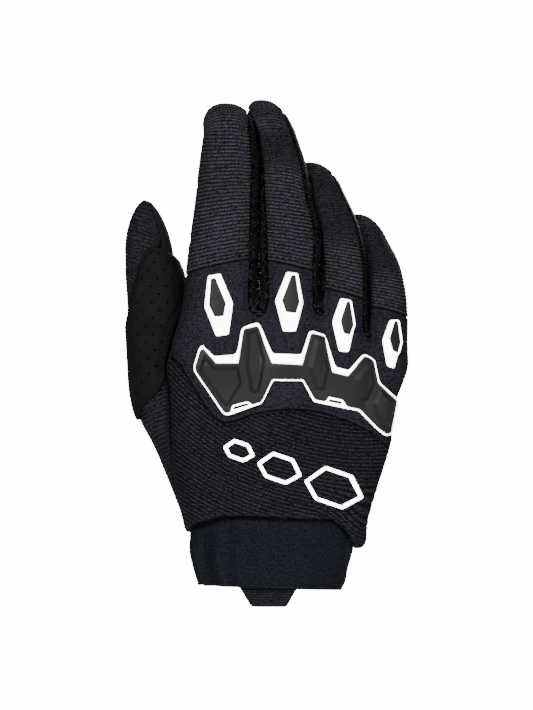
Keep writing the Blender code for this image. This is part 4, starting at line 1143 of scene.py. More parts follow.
@dataclass
class Stitching:
    """Lines of stitches in black thread."""

    length: float = 2.1
    pitch: float = 3.1
    width: float = 0.26

    def sew(
        self, name: str, lines: Sequence[tuple[Array, Form, float]], dressing: Dressing
    ) -> None:
        """Sews one piece of thread along several lines.

        Args:
            name: Name of the piece.
            lines: Points, their form and the lift off it, for each line.
            dressing: The thread's finish.
        """
        bm = bmesh.new()
        size = np.array((self.length / 2, self.width, self.width)) * MM
        for points, form, lift in lines:
            steps = np.linalg.norm(np.diff(points, axis=0), axis=1)
            along = np.concatenate([[0], steps.cumsum()])
            for start in np.arange(0.5, along[-1] - self.length, self.pitch):
                at = [
                    np.array([np.interp(s, along, points[:, k]) for k in range(3)])
                    for s in (start, start + self.length)
                ]
                middle = (at[0] + at[1]) / 2
                n = normals(form, middle[None])[0]
                way = Vector(at[1] - at[0]).normalized()
                up = Vector(n)
                side = way.cross(up).normalized()
                turn = Matrix((way, side, side.cross(way))).transposed().to_4x4()
                place = Matrix.Translation(Vector((middle + n * lift) * MM))
                place = place @ turn @ Matrix.Diagonal((*size, 1))
                bmesh.ops.create_icosphere(bm, subdivisions=1, radius=1.0, matrix=place)
        SHOP.finish_piece(bm, name, dressing)


def unit(v: Array) -> Array:
    """The vectors scaled to length 1."""
    return v / np.linalg.norm(v, axis=-1, keepdims=True)


def round_way(angles: Array) -> Array:
    """Level directions at angles in degrees, 0 at the back."""
    angles = np.radians(angles)
    return np.stack([np.sin(angles), -np.cos(angles), 0 * angles], axis=-1)


def over_way(side: Array, lift: Array) -> Array:
    """Directions over a tip: side angle from the middle, lift from the back, in degrees."""
    side, lift = np.radians(side), np.radians(lift)
    return np.stack(
        [np.sin(side) + 0 * lift, -np.cos(side) * np.cos(lift), np.cos(side) * np.sin(lift)], -1
    )


def gap_angle(gap: float) -> float:
    """A gap round a limb in degrees."""
    return math.degrees(gap / LIMB_RADIUS)


def tube(limb: Limb, start: Array, angles: Array, form: Form, step: float) -> list[Array]:
    """Rows of points up a limb from a start row to the plane where its tip begins."""
    low = start[:, 2]
    count = max(2, round((limb.cap - float(low.mean())) / step))
    z = low + (limb.cap - low) * np.arange(1, count + 1)[:, None] / count
    rows = settle(form, limb.side_point(z, np.broadcast_to(angles, z.shape)), 4)
    return [start, *rows]


@dataclass
class FingerPanels:
    """The ribbed back and the suede front of one finger."""

    finger: Finger
    gap: float = 0.08
    rib_pitch: float = 1.85
    rib_height: float = 0.5
    wall: float = 1.0
    columns: int = 22
    creases: tuple[float, float] = (18.0, 44.0)

    def seam_row(self, angles: Array) -> Array:
        """The row of points along the base seam."""
        heights = self.finger.seam_height(angles) + self.gap
        return settle(hand_field, self.finger.limb.side_point(heights, angles), 8)

    def back_rows(self) -> Array:
        """Points of the back, from the base seam over the top of the tip."""
        limb = self.finger.limb
        low, high = self.finger.back
        edge = gap_angle(self.gap)
        angles = np.linspace(low + edge, high - edge, self.columns)
        rows = tube(limb, self.seam_row(angles), angles, hand_field, 0.42)
        for lift in np.linspace(0.0, OVER_TIP - edge, 44)[1:]:
            rows.append(limb.tip_point(over_way(angles, np.full(self.columns, lift))))
        return np.array(rows)

    def front_rows(self) -> Array:
        """Points of the palm side, from the base seam to the seam over the tip."""
        limb, (low, high) = self.finger.limb, self.finger.back
        edge = gap_angle(self.gap)
        right, left = self.finger.palm_angles()
        count = self.columns
        angles = np.linspace(right + edge, left - edge, count)
        rows = tube(limb, self.seam_row(angles), angles, hand_field, 1.2)
        ends = np.linspace(high - edge, low + edge, count)
        level, top = round_way(angles), over_way(ends, np.full(count, OVER_TIP + edge))
        share = np.linspace(0.0, 1.0, count)[:, None]
        bend = 0 * share
        if low < -70:
            bend = bend + share
        if high > 70:
            bend = bend + 1 - share
        for t in np.linspace(0, 1, 14)[1:]:
            arc = over_way(ends, np.full(count, 180.0 - (180.0 - OVER_TIP - edge) * t))
            chord = unit(level * (1 - t) + top * t)
            rows.append(limb.tip_point(unit(arc * (1 - bend) + chord * bend)))
        return np.array(rows)

    def relief(self, cloth: Cloth) -> tuple[Array, Array]:
        """Height and tone of the ribs, which fade on the plain stretch near the tip. The tone
        paints shade into the rib valleys and towards the seams, and highlights on the crests and
        the roll at the base.
        """
        z = cloth.points[:, 2]
        u, v = cloth.uv.T
        phase = v + self.finger.droop * np.maximum(u, 0) ** 1.5 * smooth_steps(v, 10, 60)
        phase = phase + 0.25 * noise(cloth.uv, 14.0, 3)
        low, high = self.finger.plain
        strength = 1 - smooth_steps(z, low - 8, low + 4) * (1 - smooth_steps(z, high - 2, high + 4))
        if low == high:
            strength = np.ones(len(z))
        strength = strength * np.clip(cloth.edge / 1.0, 0, 1)
        crest = ribs(phase, self.rib_pitch)
        roll = 0.55 * ridge(v, 1.0, 0.75)
        height = (crest - 0.5) * self.rib_height * (0.12 + 0.88 * strength) + roll
        # Painted shade and highlight: valleys darker, crests and the base roll lighter, and the
        # tone falls off within a millimetre of the seams.
        tone = 0.04 + 1.25 * crest * strength + 0.4 * (1 - strength) + 0.1 * roll
        tone = tone * (1 + 0.18 * noise(cloth.points, 34.0, 21)) * (0.25 + 0.75 * strength)
        return height + cloth.dip(0.8, 1.0), tone + 0.3 * (1 - strength) * np.clip(cloth.edge, 0, 1)

    def build(self, finishes: Finishes) -> None:
        """Makes both panels."""
        name = self.finger.name
        back = Cloth.grid(self.back_rows(), hand_field)
        height, tone = self.relief(back)
        node = f"{name}_back"
        SHOP.lay(f"{node}_cloth", back, height, tone, -self.wall, finishes.knit, node)
        front = Cloth.grid(self.front_rows(), hand_field)
        creases = np.zeros(len(front.uv))
        for place in self.creases:
            wave = front.uv[:, 1] - place - 1.2 * np.sin(front.uv[:, 0] / 4.0)
            creases -= 0.5 * ridge(wave, 0.0, 1.1)
        height = creases + front.dip(0.7, 1.3) + 0.12 * noise(front.points, 16.0, 5)
        # Painted shade: the suede is darker in its creases.
        tone = 1.25 + 0.4 * creases
        node = f"{name}_front"
        SHOP.lay(f"{node}_cloth", front, height, tone, -self.wall, finishes.suede, node)


@dataclass
class Fourchette:
    """The net strip between two fingers: down one, round the slot, up the other."""

    index: int
    gap: float = -0.35
    wall: float = 0.9
    columns: int = 27
    fold_below: float = 22.0

    def tip_columns(self, limb: Limb, half: float, sign: float, share: float) -> list[Array]:
        """Points of the strip over one tip, as half a disc."""
        rows = []
        for h in np.linspace(0.97, 0.04, 12):
            along = (1 - 2 * share) * math.sqrt(1 - h * h) * half
            up = h * half
            turn = math.hypot(along, up)
            lean = math.sin(math.radians(turn)) / turn
            way = np.array([sign * math.cos(math.radians(turn)), -along * lean, up * lean])
            rows.append(limb.tip_point(way))
        return rows

    def rows(self) -> Array:
        """Points of the strip, one row for each place through the slot."""
        one, other = FINGERS[self.index], FINGERS[self.index + 1]
        start, end = one.back[1], -other.back[0]
        edge = gap_angle(self.gap)
        rows = []
        for share in np.linspace(0, 1, self.columns):
            share = float(share)
            line = slot_line(self.index, share, self.gap, 14)
            row = self.tip_columns(one.limb, 90 - start - edge, 1.0, share)
            for finger, angle, foot, up in (
                (one, start + edge + (180 - 2 * start - 2 * edge) * share, line[0], False),
                (other, -(end + edge + (180 - 2 * end - 2 * edge) * share), line[-1], True),
            ):
                count = round((finger.limb.cap - finger.seam[0]) / 1.2)
                heights = np.linspace(finger.limb.cap, foot[2], count)[:-1]
                side = finger.limb.side_point(heights, np.full(len(heights), angle))
                side = settle(hand_field, side, 4)
                if up:
                    row.extend(side[::-1])
                else:
                    row.extend(side)
                    row.extend(line)
            row.extend(reversed(self.tip_columns(other.limb, 90 - end - edge, -1.0, share)))
            rows.append(np.array(row))
        return np.array(rows)

    def build(self, finishes: Finishes) -> None:
        """Makes the strip."""
        name = f"fourchette_{FINGERS[self.index].name}_{FINGERS[self.index + 1].name}"
        cloth = Cloth.grid(self.rows(), hand_field)
        height = cloth.dip(1.15, 1.1) + 0.14 * noise(cloth.points, 5.0, 8)
        # Painted shade: the rows from the back of the hand to about the middle of the slot are
        # darker, and the strip darkens towards its seams.
        half = smooth_steps(cloth.uv[:, 1] / cloth.uv[:, 1].max(), 0.46, 0.52)
        tone = (0.25 + 0.75 * half) * (0.5 + 0.6 * np.clip(cloth.edge / 2, 0, 1))
        net = SHOP.lay(f"{name}_net", cloth, height, tone, -self.wall, finishes.net, name)
        SHOP.declare(net, cloth, [self.fold(name, finishes)])

    def fold(self, name: str, finishes: Finishes) -> bpy.types.Object:
        """Makes the slack of the net, folded in between the two fingers.

        Args:
            name: The node of the strip.
            finishes: The glove's materials.

        Returns:
            The piece.
        """
        one, other = FINGERS[self.index].limb, FINGERS[self.index + 1].limb
        low, high = SLOTS[self.index][1] - 6.0, min(one.cap, other.cap) - self.fold_below
        z = np.linspace(low, high, 90)
        left, right = one.section(z), other.section(z)
        start, end = left[:, 0] + left[:, 2] - 1.0, right[:, 0] - right[:, 2] + 1.0
        depth = (left[:, 1] + right[:, 1]) / 2
        share = np.linspace(0, 1, 16)
        end = np.maximum(end, start + 0.6)
        x = start[:, None] * (1 - share) + end[:, None] * share
        slack = 2.2 * smooth_steps(end - start, 0.6, 6.0)[:, None]
        y = depth[:, None] - slack * np.sin(math.pi * share)
        rows = np.stack(np.broadcast_arrays(x, y, z[:, None]), axis=-1)
        cloth = Cloth.grid(rows, lambda p: -p[..., 1])
        height = 0.2 * noise(cloth.points, 4.0, 31)
        return SHOP.lay(f"{name}_fold", cloth, height, 0.75, -self.wall, finishes.net)


LEFT_BORDER: Table = (
    (20.0, 82.0), (45.0, 78.0), (80.0, 76.0), (108.0, 78.0), (121.0, 78.0), (139.0, 58.0),
)
KNUCKLE_SEAM: Table = (
    (-0.399, 0.458), (-0.355, 0.423), (-0.286, 0.374), (-0.229, 0.344), (-0.168, 0.341),
    (-0.073, 0.356), (0.022, 0.364), (0.115, 0.366), (0.226, 0.360), (0.346, 0.342),
    (0.417, 0.327), (0.470, 0.313), (0.510, 0.294),
)
HEM: Table = (
    (0.380, 0.081), (0.359, 0.100), (0.337, 0.116), (0.284, 0.138), (0.262, 0.140),
    (0.137, 0.141), (-0.022, 0.145), (-0.142, 0.147), (-0.217, 0.145), (-0.253, 0.141),
    (-0.319, 0.132), (-0.360, 0.123),
)


@dataclass
class HandPanels:
    """The fine-knit knuckle panel, the ribbed back and the suede palm."""

    right_border: float = 88.0
    hem_left: float = 27.0
    hem_right: float = 18.5
    back_corner: float = 110.0
    seam_right: float = 65.0
    gap: float = 0.08
    rib_pitch: float = 1.75
    rib_height: float = 0.36
    rib_centre: tuple[float, float] = (46.0, 183.0)
    round_hem: float = 4.2
    palm_creases: Table = ((0.35, 84.0), (-0.22, 103.0))
    hole_margin: float = 1.2
    wall: float = 1.0
    seam: Array = field(init=False)

    def __post_init__(self) -> None:
        """Places the seam below the knuckles."""
        points = np.array(KNUCKLE_SEAM) * (WIDTH, LENGTH)
        at = np.linspace(0, len(points) - 1, 90)
        smooth = spline(at, np.arange(len(points), dtype=float), points)
        self.seam = BACK.seen(smooth)

    def top_line(self, chart: Chart) -> Array:
        """The lobes and slots along the top of the hand, from left to right."""
        points = []
        palm = chart.side is Side.PALM
        for i, finger in enumerate(FINGERS):
            low, high = finger.back
            if palm:
                high, low = finger.palm_angles()
            if finger is INDEX:
                low = 306.0 if palm else -54.0
            angles = np.linspace(low, high, 26)
            heights = finger.seam_height(angles)
            seam = settle(hand_field, finger.limb.side_point(heights, angles), 8)
            points.extend(chart.unwrap(seam))
            if i < 3:
                line = slot_line(i, 1.0 if palm else 0.0, 0.0, 9)
                points.extend(chart.unwrap(line[1:-1]))
        return np.array(points)

    def left(self, low: float, high: float, chart: Chart) -> Array:
        """Chart places up the border on the thumb's side."""
        z = np.linspace(low, high, max(3, int((high - low) / 1.5)))
        turn = np.interp(z, *np.array(LEFT_BORDER).T)
        turn = turn if chart.side is Side.BACK else 180.0 - turn
        return np.stack([chart.pivots(z)[0] - np.radians(turn) * chart.left_reach, z], -1)

    def right(self, low: float, high: float, chart: Chart) -> Array:
        """Chart places down the border on the little finger's side."""
        z = np.linspace(high, low, max(3, int((high - low) / 1.5)))
        turn = self.right_border if chart.side is Side.BACK else 180.0 - self.right_border
        return np.stack([chart.pivots(z)[1] + math.radians(turn) * chart.right_reach, z], -1)

    def cloth(self, loop: Array, chart: Chart, pitch: float, hole: bool) -> Cloth:
        """A panel inside a loop of its chart.

        Args:
            loop: The outline.
            chart: The side of the hand.
            pitch: Size of a triangle.
            hole: Whether the opening into the thumb is cut out.

        Returns:
            The cloth.
        """
        loop = inset(loop, self.gap)
        made = Cloth.filled(chart, [loop], pitch)
        if hole:
            made = made.trimmed(THUMB.field(made.points) + self.hole_margin, border=False)
        return made

    def cornered(self, cloth: Cloth) -> Cloth:
        """The panel with its hem rounded at the corner on the little finger's side."""
        x, _, z = cloth.points.T
        corner = np.array((x[z < self.hem_right + 2.0].max(), self.hem_right))
        past = (np.stack([x, z], -1) - corner) * (1.0, -1.0) + self.round_hem
        beyond = np.hypot(*np.maximum(past, 0.0).T) * (past.min(axis=1) > 0)
        return cloth.trimmed(self.round_hem - beyond, border=False)

    def build(self, finishes: Finishes) -> None:
        """Makes the three panels."""
        top = self.top_line(BACK)
        loop = np.concatenate(
            [
                top,
                self.right(self.seam_right, top[-1, 1] - 2.0, BACK),
                self.seam[::-1],
                self.left(self.back_corner, top[0, 1] - 2.0, BACK),
            ]
        )
        cloth = self.cloth(loop, BACK, 0.95, False)
        shaded_groove = ridge(cloth.edge, 1.9, 0.35)
        roll = ridge(cloth.edge, 0.9, 0.6)
        height = cloth.dip(0.55, 0.8) + 0.3 * roll - 0.18 * shaded_groove
        height = height + 0.12 * noise(cloth.points, 24.0, 2)
        # Painted shade in the groove just inside the panel's edge, and a painted highlight on the
        # roll along it.
        tone = 0.95 - 0.5 * shaded_groove + 0.15 * roll
        inner = -self.wall
        SHOP.lay("knuckle_cloth", cloth, height, tone, inner, finishes.panel, "knuckle_panel")

        hem = np.array(HEM) * (WIDTH, LENGTH)
        hem = spline(np.linspace(0, len(hem) - 1, 70), np.arange(len(hem), dtype=float), hem)
        corner = self.right(self.seam_right, self.seam_right + 3.0, BACK)[-1:]
        loop = np.concatenate(
            [
                self.seam,
                corner,
                self.right(self.hem_right, self.seam_right - 2.0, BACK),
                BACK.seen(hem),
                self.left(self.hem_left, self.back_corner, BACK),
            ]
        )
        cloth = self.cornered(self.cloth(loop, BACK, 0.46, True))
        height, tone = self.back_relief(cloth, BACK.seen(hem))
        SHOP.lay("back_cloth", cloth, height, tone, inner, finishes.knit, "back_panel")

        top = self.top_line(FRONT)
        loop = np.concatenate(
            [
                top,
                self.right(self.hem_right, top[-1, 1] - 2.0, FRONT),
                self.left(self.hem_left, top[0, 1] - 2.0, FRONT),
            ]
        )
        cloth = self.cornered(self.cloth(loop, FRONT, 1.6, True))
        height = cloth.dip(0.6, 1.3) + 0.2 * noise(cloth.points, 30.0, 4)
        for slope, level in self.palm_creases:
            line = cloth.points[:, 2] - level - slope * cloth.points[:, 0]
            height = height - 0.45 * ridge(line, 0.0, 1.4)
        tone = 1.3 + 0.25 * noise(cloth.points, 34.0, 31)
        SHOP.lay("palm_cloth", cloth, height, tone, inner, finishes.suede, "palm_panel")

    def back_relief(self, cloth: Cloth, hem: Array) -> tuple[Array, Array]:
        """Height and tone of the back's diagonal ribs, with painted shade in the rib valleys and
        painted highlights on the crests and on the roll above the hem.

        Args:
            cloth: The back panel.
            hem: The hem's line in the chart.

        Returns:
            Height and tone of each point.
        """
        x, _, z = cloth.points.T
        phase = np.hypot(x - self.rib_centre[0], z - self.rib_centre[1])
        corner = smooth_steps(x, 20.0, 46.0) * (1 - smooth_steps(z, 24.0, 52.0))
        phase = phase - 13.0 * corner + 0.35 * noise(cloth.uv, 26.0, 6)
        crest = ribs(phase, self.rib_pitch)
        hem_away = distance(cloth.uv, [hem], closed=False)
        roll = ridge(hem_away, 1.1, 0.9)
        strength = np.clip(cloth.edge / 1.2, 0, 1)
        height = (crest - 0.5) * self.rib_height * strength + 0.35 * roll + cloth.dip(0.6, 0.9)
        # Painted shade in the rib valleys, and painted highlights on the crests and the hem roll.
        tone = 0.1 + 0.5 * crest * strength + 0.08 * roll
        tone = tone * (1 + 0.2 * noise(cloth.points, 40.0, 22))
        return height, tone


@dataclass
class ThumbPanels:
    """The thumb's back, front, gusset and the perforated patch over them."""

    half: float = 80.0
    base: float = 26.0
    seam: float = 101.0
    gap: float = 0.08
    wall: float = 1.0
    rib_pitch: float = 1.85
    rib_height: float = 0.2
    patch_lift: float = 1.75
    patch_wall: float = 1.1
    hole_radius: float = 0.5
    hole_pitch: tuple[float, float] = (6.9, 3.75)
    patch: Table = (
        (26.0, 159.5), (10.0, 160.2), (-6.0, 158.6), (-22.0, 153.5), (-33.0, 147.0), (-44.0, 140.0),
        (-56.0, 133.0), (-72.0, 127.0), (-92.0, 122.5), (-112.0, 119.0), (-118.0, 100.0),
        (-114.0, 84.0), (-92.0, 79.5), (-66.0, 80.0), (-50.0, 84.5), (-24.0, 89.5), (-6.0, 94.0),
        (10.0, 101.0), (22.0, 107.0), (38.0, 112.0), (52.0, 120.0), (66.0, 128.0), (84.0, 138.0),
        (94.0, 146.0), (86.0, 152.5), (56.0, 156.5),
    )
    patch_reach: float = 13.5
    patch_turn: float = 55.0

    def panel(self, rows: Array) -> Cloth:
        """The cloth of some rows, where it stays outside the hand."""
        cloth = Cloth.grid(rows, THUMB.field)
        return cloth.trimmed(hand_field(cloth.points) - 0.1)

    def patch_place(self, flat: Array) -> Array:
        """Points on the thumb at places of the patch's map."""
        turn = flat[:, 0] / math.radians(self.patch_reach) + self.patch_turn
        return THUMB.side_point(flat[:, 1], turn)

    def lifted(self, points: Array) -> Array:
        """The points raised to the patch's outer face."""
        return points + normals(THUMB.field, points) * self.patch_lift

    def back_rows(self) -> Array:
        """The back from the seam under the patch over the tip."""
        edge = gap_angle(self.gap)
        angles = np.linspace(-self.half + edge, self.half - edge, 30)
        start = THUMB.side_point(np.full(30, self.seam + self.gap), angles)
        rows = tube(THUMB, start, angles, THUMB.field, 0.45)
        for lift in np.linspace(0, OVER_TIP - edge, 60)[1:]:
            rows.append(THUMB.tip_point(over_way(angles, np.full(30, lift))))
        return np.array(rows)

    def front_rows(self) -> Array:
        """The palm side from the wrist to the seam over the tip."""
        edge = gap_angle(self.gap)
        angles = np.linspace(self.half + edge, 360.0 - self.half - edge, 40)
        ends = np.linspace(self.half - edge, -self.half + edge, 40)
        start = THUMB.side_point(np.full(40, self.base), angles)
        rows = tube(THUMB, start, angles, THUMB.field, 1.2)
        level, top = round_way(angles), over_way(ends, np.full(40, OVER_TIP + edge))
        for t in np.linspace(0, 1, 22)[1:]:
            rows.append(THUMB.tip_point(unit(level * (1 - t) + top * t)))
        return np.array(rows)

    def gusset_rows(self) -> Array:
        """The gusset between the patch, the back panel and the cuff."""
        edge = gap_angle(self.gap)
        angles = np.linspace(-self.half + edge, self.half - edge, 44)
        heights = np.linspace(self.base, self.seam - self.gap, 170)
        return THUMB.side_point(heights[:, None] + 0 * angles, angles + 0 * heights[:, None])

    def ribbed(self, cloth: Cloth, tilt: float) -> tuple[Array, Array]:
        """Height and tone of ribs across the thumb; the tone paints shade into the rib valleys and
        highlights on the crests.
        """
        phase = cloth.points[:, 2] + tilt * cloth.uv[:, 0] + 0.3 * noise(cloth.uv, 20.0, 9)
        crest = ribs(phase, self.rib_pitch)
        strength = np.clip(cloth.edge / 1.0, 0, 1)
        height = (crest - 0.5) * self.rib_height * strength + cloth.dip(0.6, 0.9)
        # Painted shade in the rib valleys, lighter on the crests.
        return height, 0.22 + 0.42 * crest * strength

    def patch_cloth(self) -> Cloth:
        """The patch, with its rows of holes."""
        loop = np.array(self.patch) * (math.radians(self.patch_reach), 1.0)
        closed = np.concatenate([loop, loop[:1]])
        at = np.linspace(0, len(loop), 260, endpoint=False)
        loop = spline(at, np.arange(len(closed), dtype=float), closed)
        holes = []
        turn = np.linspace(0, 2 * math.pi, 8, endpoint=False)
        ring = np.stack([np.cos(turn), np.sin(turn)], -1) * self.hole_radius
        wide, tall = self.hole_pitch
        for row in range(40):
            for column in range(-8, 9):
                place = np.array([(column + 0.5 * (row % 2)) * wide + 1.6, 78.0 + row * tall])
                if inside(place[None], [loop])[0] and distance(place[None], [loop])[0] > 2.6:
                    holes.append(ring + place)
        flat, faces = triangulate([loop, *holes], 1.0)
        points = self.patch_place(flat)
        made = Cloth(points, faces, flat, distance(flat, [loop]), THUMB.field)
        return made.trimmed(hand_field(self.lifted(points)) - 0.4)

    def patch_seam(self) -> Array:
        """Points along the patch's upper edge, where its stitches run."""
        line = np.array(self.patch)[:11] * (math.radians(self.patch_reach), 1.0)
        line = spline(np.linspace(0, 10, 120), np.arange(11.0), line) - (0.0, 2.0)
        points = self.patch_place(line)
        return points[hand_field(self.lifted(points)) > 0.8]

    def build(self, finishes: Finishes) -> None:
        """Makes the four panels."""
        inner = -self.wall
        back = self.panel(self.back_rows())
        height, tone = self.ribbed(back, 0.25)
        SHOP.lay("thumb_back_cloth", back, height, tone, inner, finishes.knit, "thumb_back")
        front = self.panel(self.front_rows())
        height = front.dip(0.7, 1.3) + 0.15 * noise(front.points, 18.0, 12)
        SHOP.lay("thumb_front_cloth", front, height, 1.25, inner, finishes.suede, "thumb_front")
        gusset = self.panel(self.gusset_rows())
        height, tone = self.ribbed(gusset, -0.3)
        SHOP.lay("thumb_gusset_cloth", gusset, height, tone, inner, finishes.knit, "thumb_gusset")
        patch = self.patch_cloth()
        inner = self.patch_lift - self.patch_wall
        shaded_groove = ridge(patch.edge, 1.7, 0.4)
        height = self.patch_lift + patch.dip(0.55, 0.9) + 0.12 * noise(patch.points, 22.0, 7)
        # Painted shade: the patch is darker in the groove along its edge.
        height, tone = height - 0.2 * shaded_groove, 0.95 - 0.3 * shaded_groove
        SHOP.lay("thumb_patch_cloth", patch, height, tone, inner, finishes.suede, "thumb_patch")


@dataclass
class Cuff:
    """The smooth stretch cuff and its pull tab."""

    top: float = 36.0
    seam: float = 64.0
    folds: int = 5
    fold_depth: float = 0.9
    wall: float = 2.4
    tab_wall: float = 1.2
    slant: float = 1.1
    gather_spread: float = 52.0
    piping: tuple[float, float, float] = (36.2, 14.0, 0.13)

    def band(self) -> Cloth:
        """The cuff's outer face as one closed band."""
        count, rows = 260, 70
        angles = np.linspace(self.seam, self.seam + 360.0, count + 1)
        heights = np.linspace(0.0, self.top, rows)
        drop = self.slant * np.sin(np.radians(angles)) * (1 - heights[:, None] / self.top)
        grid = CUFF.side_point(heights[:, None] - drop, angles + 0 * heights[:, None])
        return Cloth.grid(grid, CUFF.field)

    def relief(self, cloth: Cloth) -> tuple[Array, Array]:
        """Height and tone of the gathers on the thumb's side, the hem and the piping. The tone
        paints highlights on the gathers' crests and on the piping, shade in the gathers' valleys,
        beside the piping and in the hem's groove, and a lighter line along the bottom edge.
        """
        x, y, z = cloth.points.T
        turn = (np.degrees(np.arctan2(x, -y)) + 90.0 + 180.0) % 360.0 - 180.0
        reach = ridge(turn, 0.0, self.gather_spread) * (1 - 0.7 * smooth_steps(z, 14.0, 30.0))
        wave = np.cos(np.radians(turn) * self.folds * 3.4 + 0.05 * z) - 1.0
        height = self.fold_depth * reach * wave
        across, foot, lean = self.piping
        line = x - across - (z - foot) * lean
        piping = ridge(line, 0.0, 0.7) * (y < 0)
        beside = ridge(line, 1.6, 0.8) * (y < 0)
        height = height + 0.7 * piping
        up = cloth.uv[:, 1]
        hem = ridge(up, 1.7, 0.35)
        height = height - 0.25 * hem - 0.5 * (1 - np.clip(up / 0.8, 0, 1)) ** 2
        height = height + 0.25 * noise(cloth.points, 26.0, 15)
        # Painted highlight on the fold crests and the piping, painted shade in the fold valleys and
        # beside the piping.
        tone = 0.9 + 0.42 * reach * (wave + 1.0) + 0.6 * piping - 0.5 * beside
        edge = ridge(up, 0.9, 0.45)
        return height, tone - 0.4 * hem + 0.55 * edge

    def build(self, finishes: Finishes) -> None:
        """Makes the cuff and the tab."""
        band = self.band()
        height, tone = self.relief(band)
        piece = SHOP.lay("cuff_band", band, height, tone, -self.wall, finishes.neoprene, "cuff")
        bm = bmesh.new()
        bm.from_mesh(piece.data)
        bmesh.ops.remove_doubles(bm, verts=bm.verts, dist=0.00002)
        doubles = [f for f in bm.faces if all(len(e.link_faces) > 2 for e in f.edges)]
        bmesh.ops.delete(bm, geom=doubles, context="FACES")
        bm.to_mesh(piece.data)
        bm.free()
        self.tab(finishes)

    def tab(self, finishes: Finishes) -> None:
        """Makes the ribbed pull tab behind the cuff's lower edge."""
        heights = np.linspace(7.0, -8.8, 64)
        knots = (-7.0, 0.0, 4.0, 7.4, 8.4, 8.8)
        left = np.interp(-heights, knots, (-15.0, -15.0, -12.4, -10.2, -9.4, -8.4))
        right = np.interp(-heights, knots, (13.5, 13.5, 11.1, 9.1, 8.3, 7.2))
        share = np.linspace(0, 1, 34)
        x = left[:, None] * (1 - share) + right[:, None] * share
        origin = np.stack(np.broadcast_arrays(x, 0.0, heights[:, None]), axis=-1)
        rows = ray(CUFF.field, origin, np.broadcast_to(np.array((0.0, -1.0, 0.0)), origin.shape))
        cloth = Cloth.grid(rows, CUFF.field)
        crest = ribs(cloth.uv[:, 1], 1.25)
        lift = -(self.wall + 0.4)
        height = lift + 0.2 * (crest - 0.6) * np.clip(cloth.edge, 0, 1) + cloth.dip(0.35, 0.7)
        # Painted shade in the tab's rib valleys, lighter on the crests.
        tone, inner = 0.2 + 0.35 * crest, lift - self.tab_wall
        SHOP.lay("pull_tab_cloth", cloth, height, tone, inner, finishes.tab, "pull_tab")


KNUCKLE_OUTLINE: Table = (
    (-0.463, 0.315), (-0.406, 0.212), (-0.303, 0.227), (-0.291, 0.270), (-0.272, 0.460),
    (-0.241, 0.487), (-0.187, 0.508), (-0.174, 0.474), (-0.111, 0.236), (0.027, 0.227),
    (0.064, 0.433), (0.080, 0.437), (0.145, 0.399), (0.157, 0.352), (0.199, 0.121),
    (0.264, 0.094), (0.333, 0.234), (0.396, 0.175), (0.417, -0.008), (0.501, -0.157),
    (0.469, -0.480), (0.443, -0.495), (0.402, -0.438), (0.310, -0.273), (0.088, -0.192),
    (0.031, -0.001), (-0.111, -0.001), (-0.168, -0.205), (-0.333, -0.311), (-0.360, -0.300),
    (-0.501, 0.080), (-0.505, 0.121), (-0.478, 0.283),
)
CORE_OUTLINE: Table = (
    (-0.459, 0.270), (-0.398, 0.141), (-0.283, 0.141), (-0.258, 0.445), (-0.191, 0.467),
    (-0.119, 0.141), (0.035, 0.127), (0.074, 0.406), (0.141, 0.376), (0.180, 0.066),
    (0.260, 0.032), (0.337, 0.202), (0.386, 0.159), (0.405, -0.022), (0.485, -0.169),
    (0.456, -0.460), (0.445, -0.467), (0.407, -0.415), (0.316, -0.247), (0.254, -0.222),
    (0.236, -0.163), (0.159, -0.133), (0.142, -0.181), (0.096, -0.165), (0.038, 0.023),
    (-0.118, 0.023), (-0.176, -0.184), (-0.216, -0.209), (-0.238, -0.176), (-0.319, -0.213),
    (-0.330, -0.280), (-0.353, -0.277), (-0.489, 0.089), (-0.491, 0.120), (-0.469, 0.253),
)
WINDOWS: tuple[Table, ...] = (
    ((-0.312, -0.261), (-0.306, -0.234), (-0.244, -0.203), (-0.230, -0.217)),
    ((0.159, -0.188), (0.169, -0.166), (0.225, -0.187), (0.232, -0.211)),
)
PADS: tuple[Table, ...] = (
    (
        (-0.250, 0.426), (-0.196, 0.444), (-0.143, 0.161), (-0.184, -0.115), (-0.225, -0.124),
        (-0.256, 0.129),
    ),
    (
        (0.080, 0.382), (0.135, 0.360), (0.170, 0.085), (0.132, -0.097), (0.085, -0.079),
        (0.051, 0.120),
    ),
    (
        (0.337, 0.175), (0.380, 0.141), (0.396, -0.013), (0.352, -0.186), (0.295, -0.159),
        (0.280, 0.023),
    ),
    ((0.415, -0.062), (0.475, -0.177), (0.450, -0.434), (0.385, -0.310), (0.375, -0.208)),
    (
        (-0.453, 0.235), (-0.405, 0.127), (-0.288, 0.124), (-0.270, -0.031), (-0.333, -0.230),
        (-0.350, -0.239), (-0.475, 0.094),
    ),
)


def outline(
    table: Table, size: tuple[float, float], middle: tuple[float, float], radius: float
) -> Array:
    """A rounded outline in the back's chart.

    Args:
        table: Corners as shares of the size, as seen from the front.
        size: Width and height.
        middle: The outline's middle as seen from the front.
        radius: Radius of the corners.

    Returns:
        The outline in the chart.
    """
    loop = np.array(table) * size + middle
    loop = densify(rounded(loop, radius) if radius else loop, 1.2)
    return BACK.seen(loop)


def shoulder(edge: Array, radius: float) -> Array:
    """How far a moulded top falls away towards its edge, as a quarter round."""
    t = 1 - np.clip(edge / radius, 0, 1)
    return radius * (1 - np.sqrt(np.maximum(1 - t * t, 0.0)))


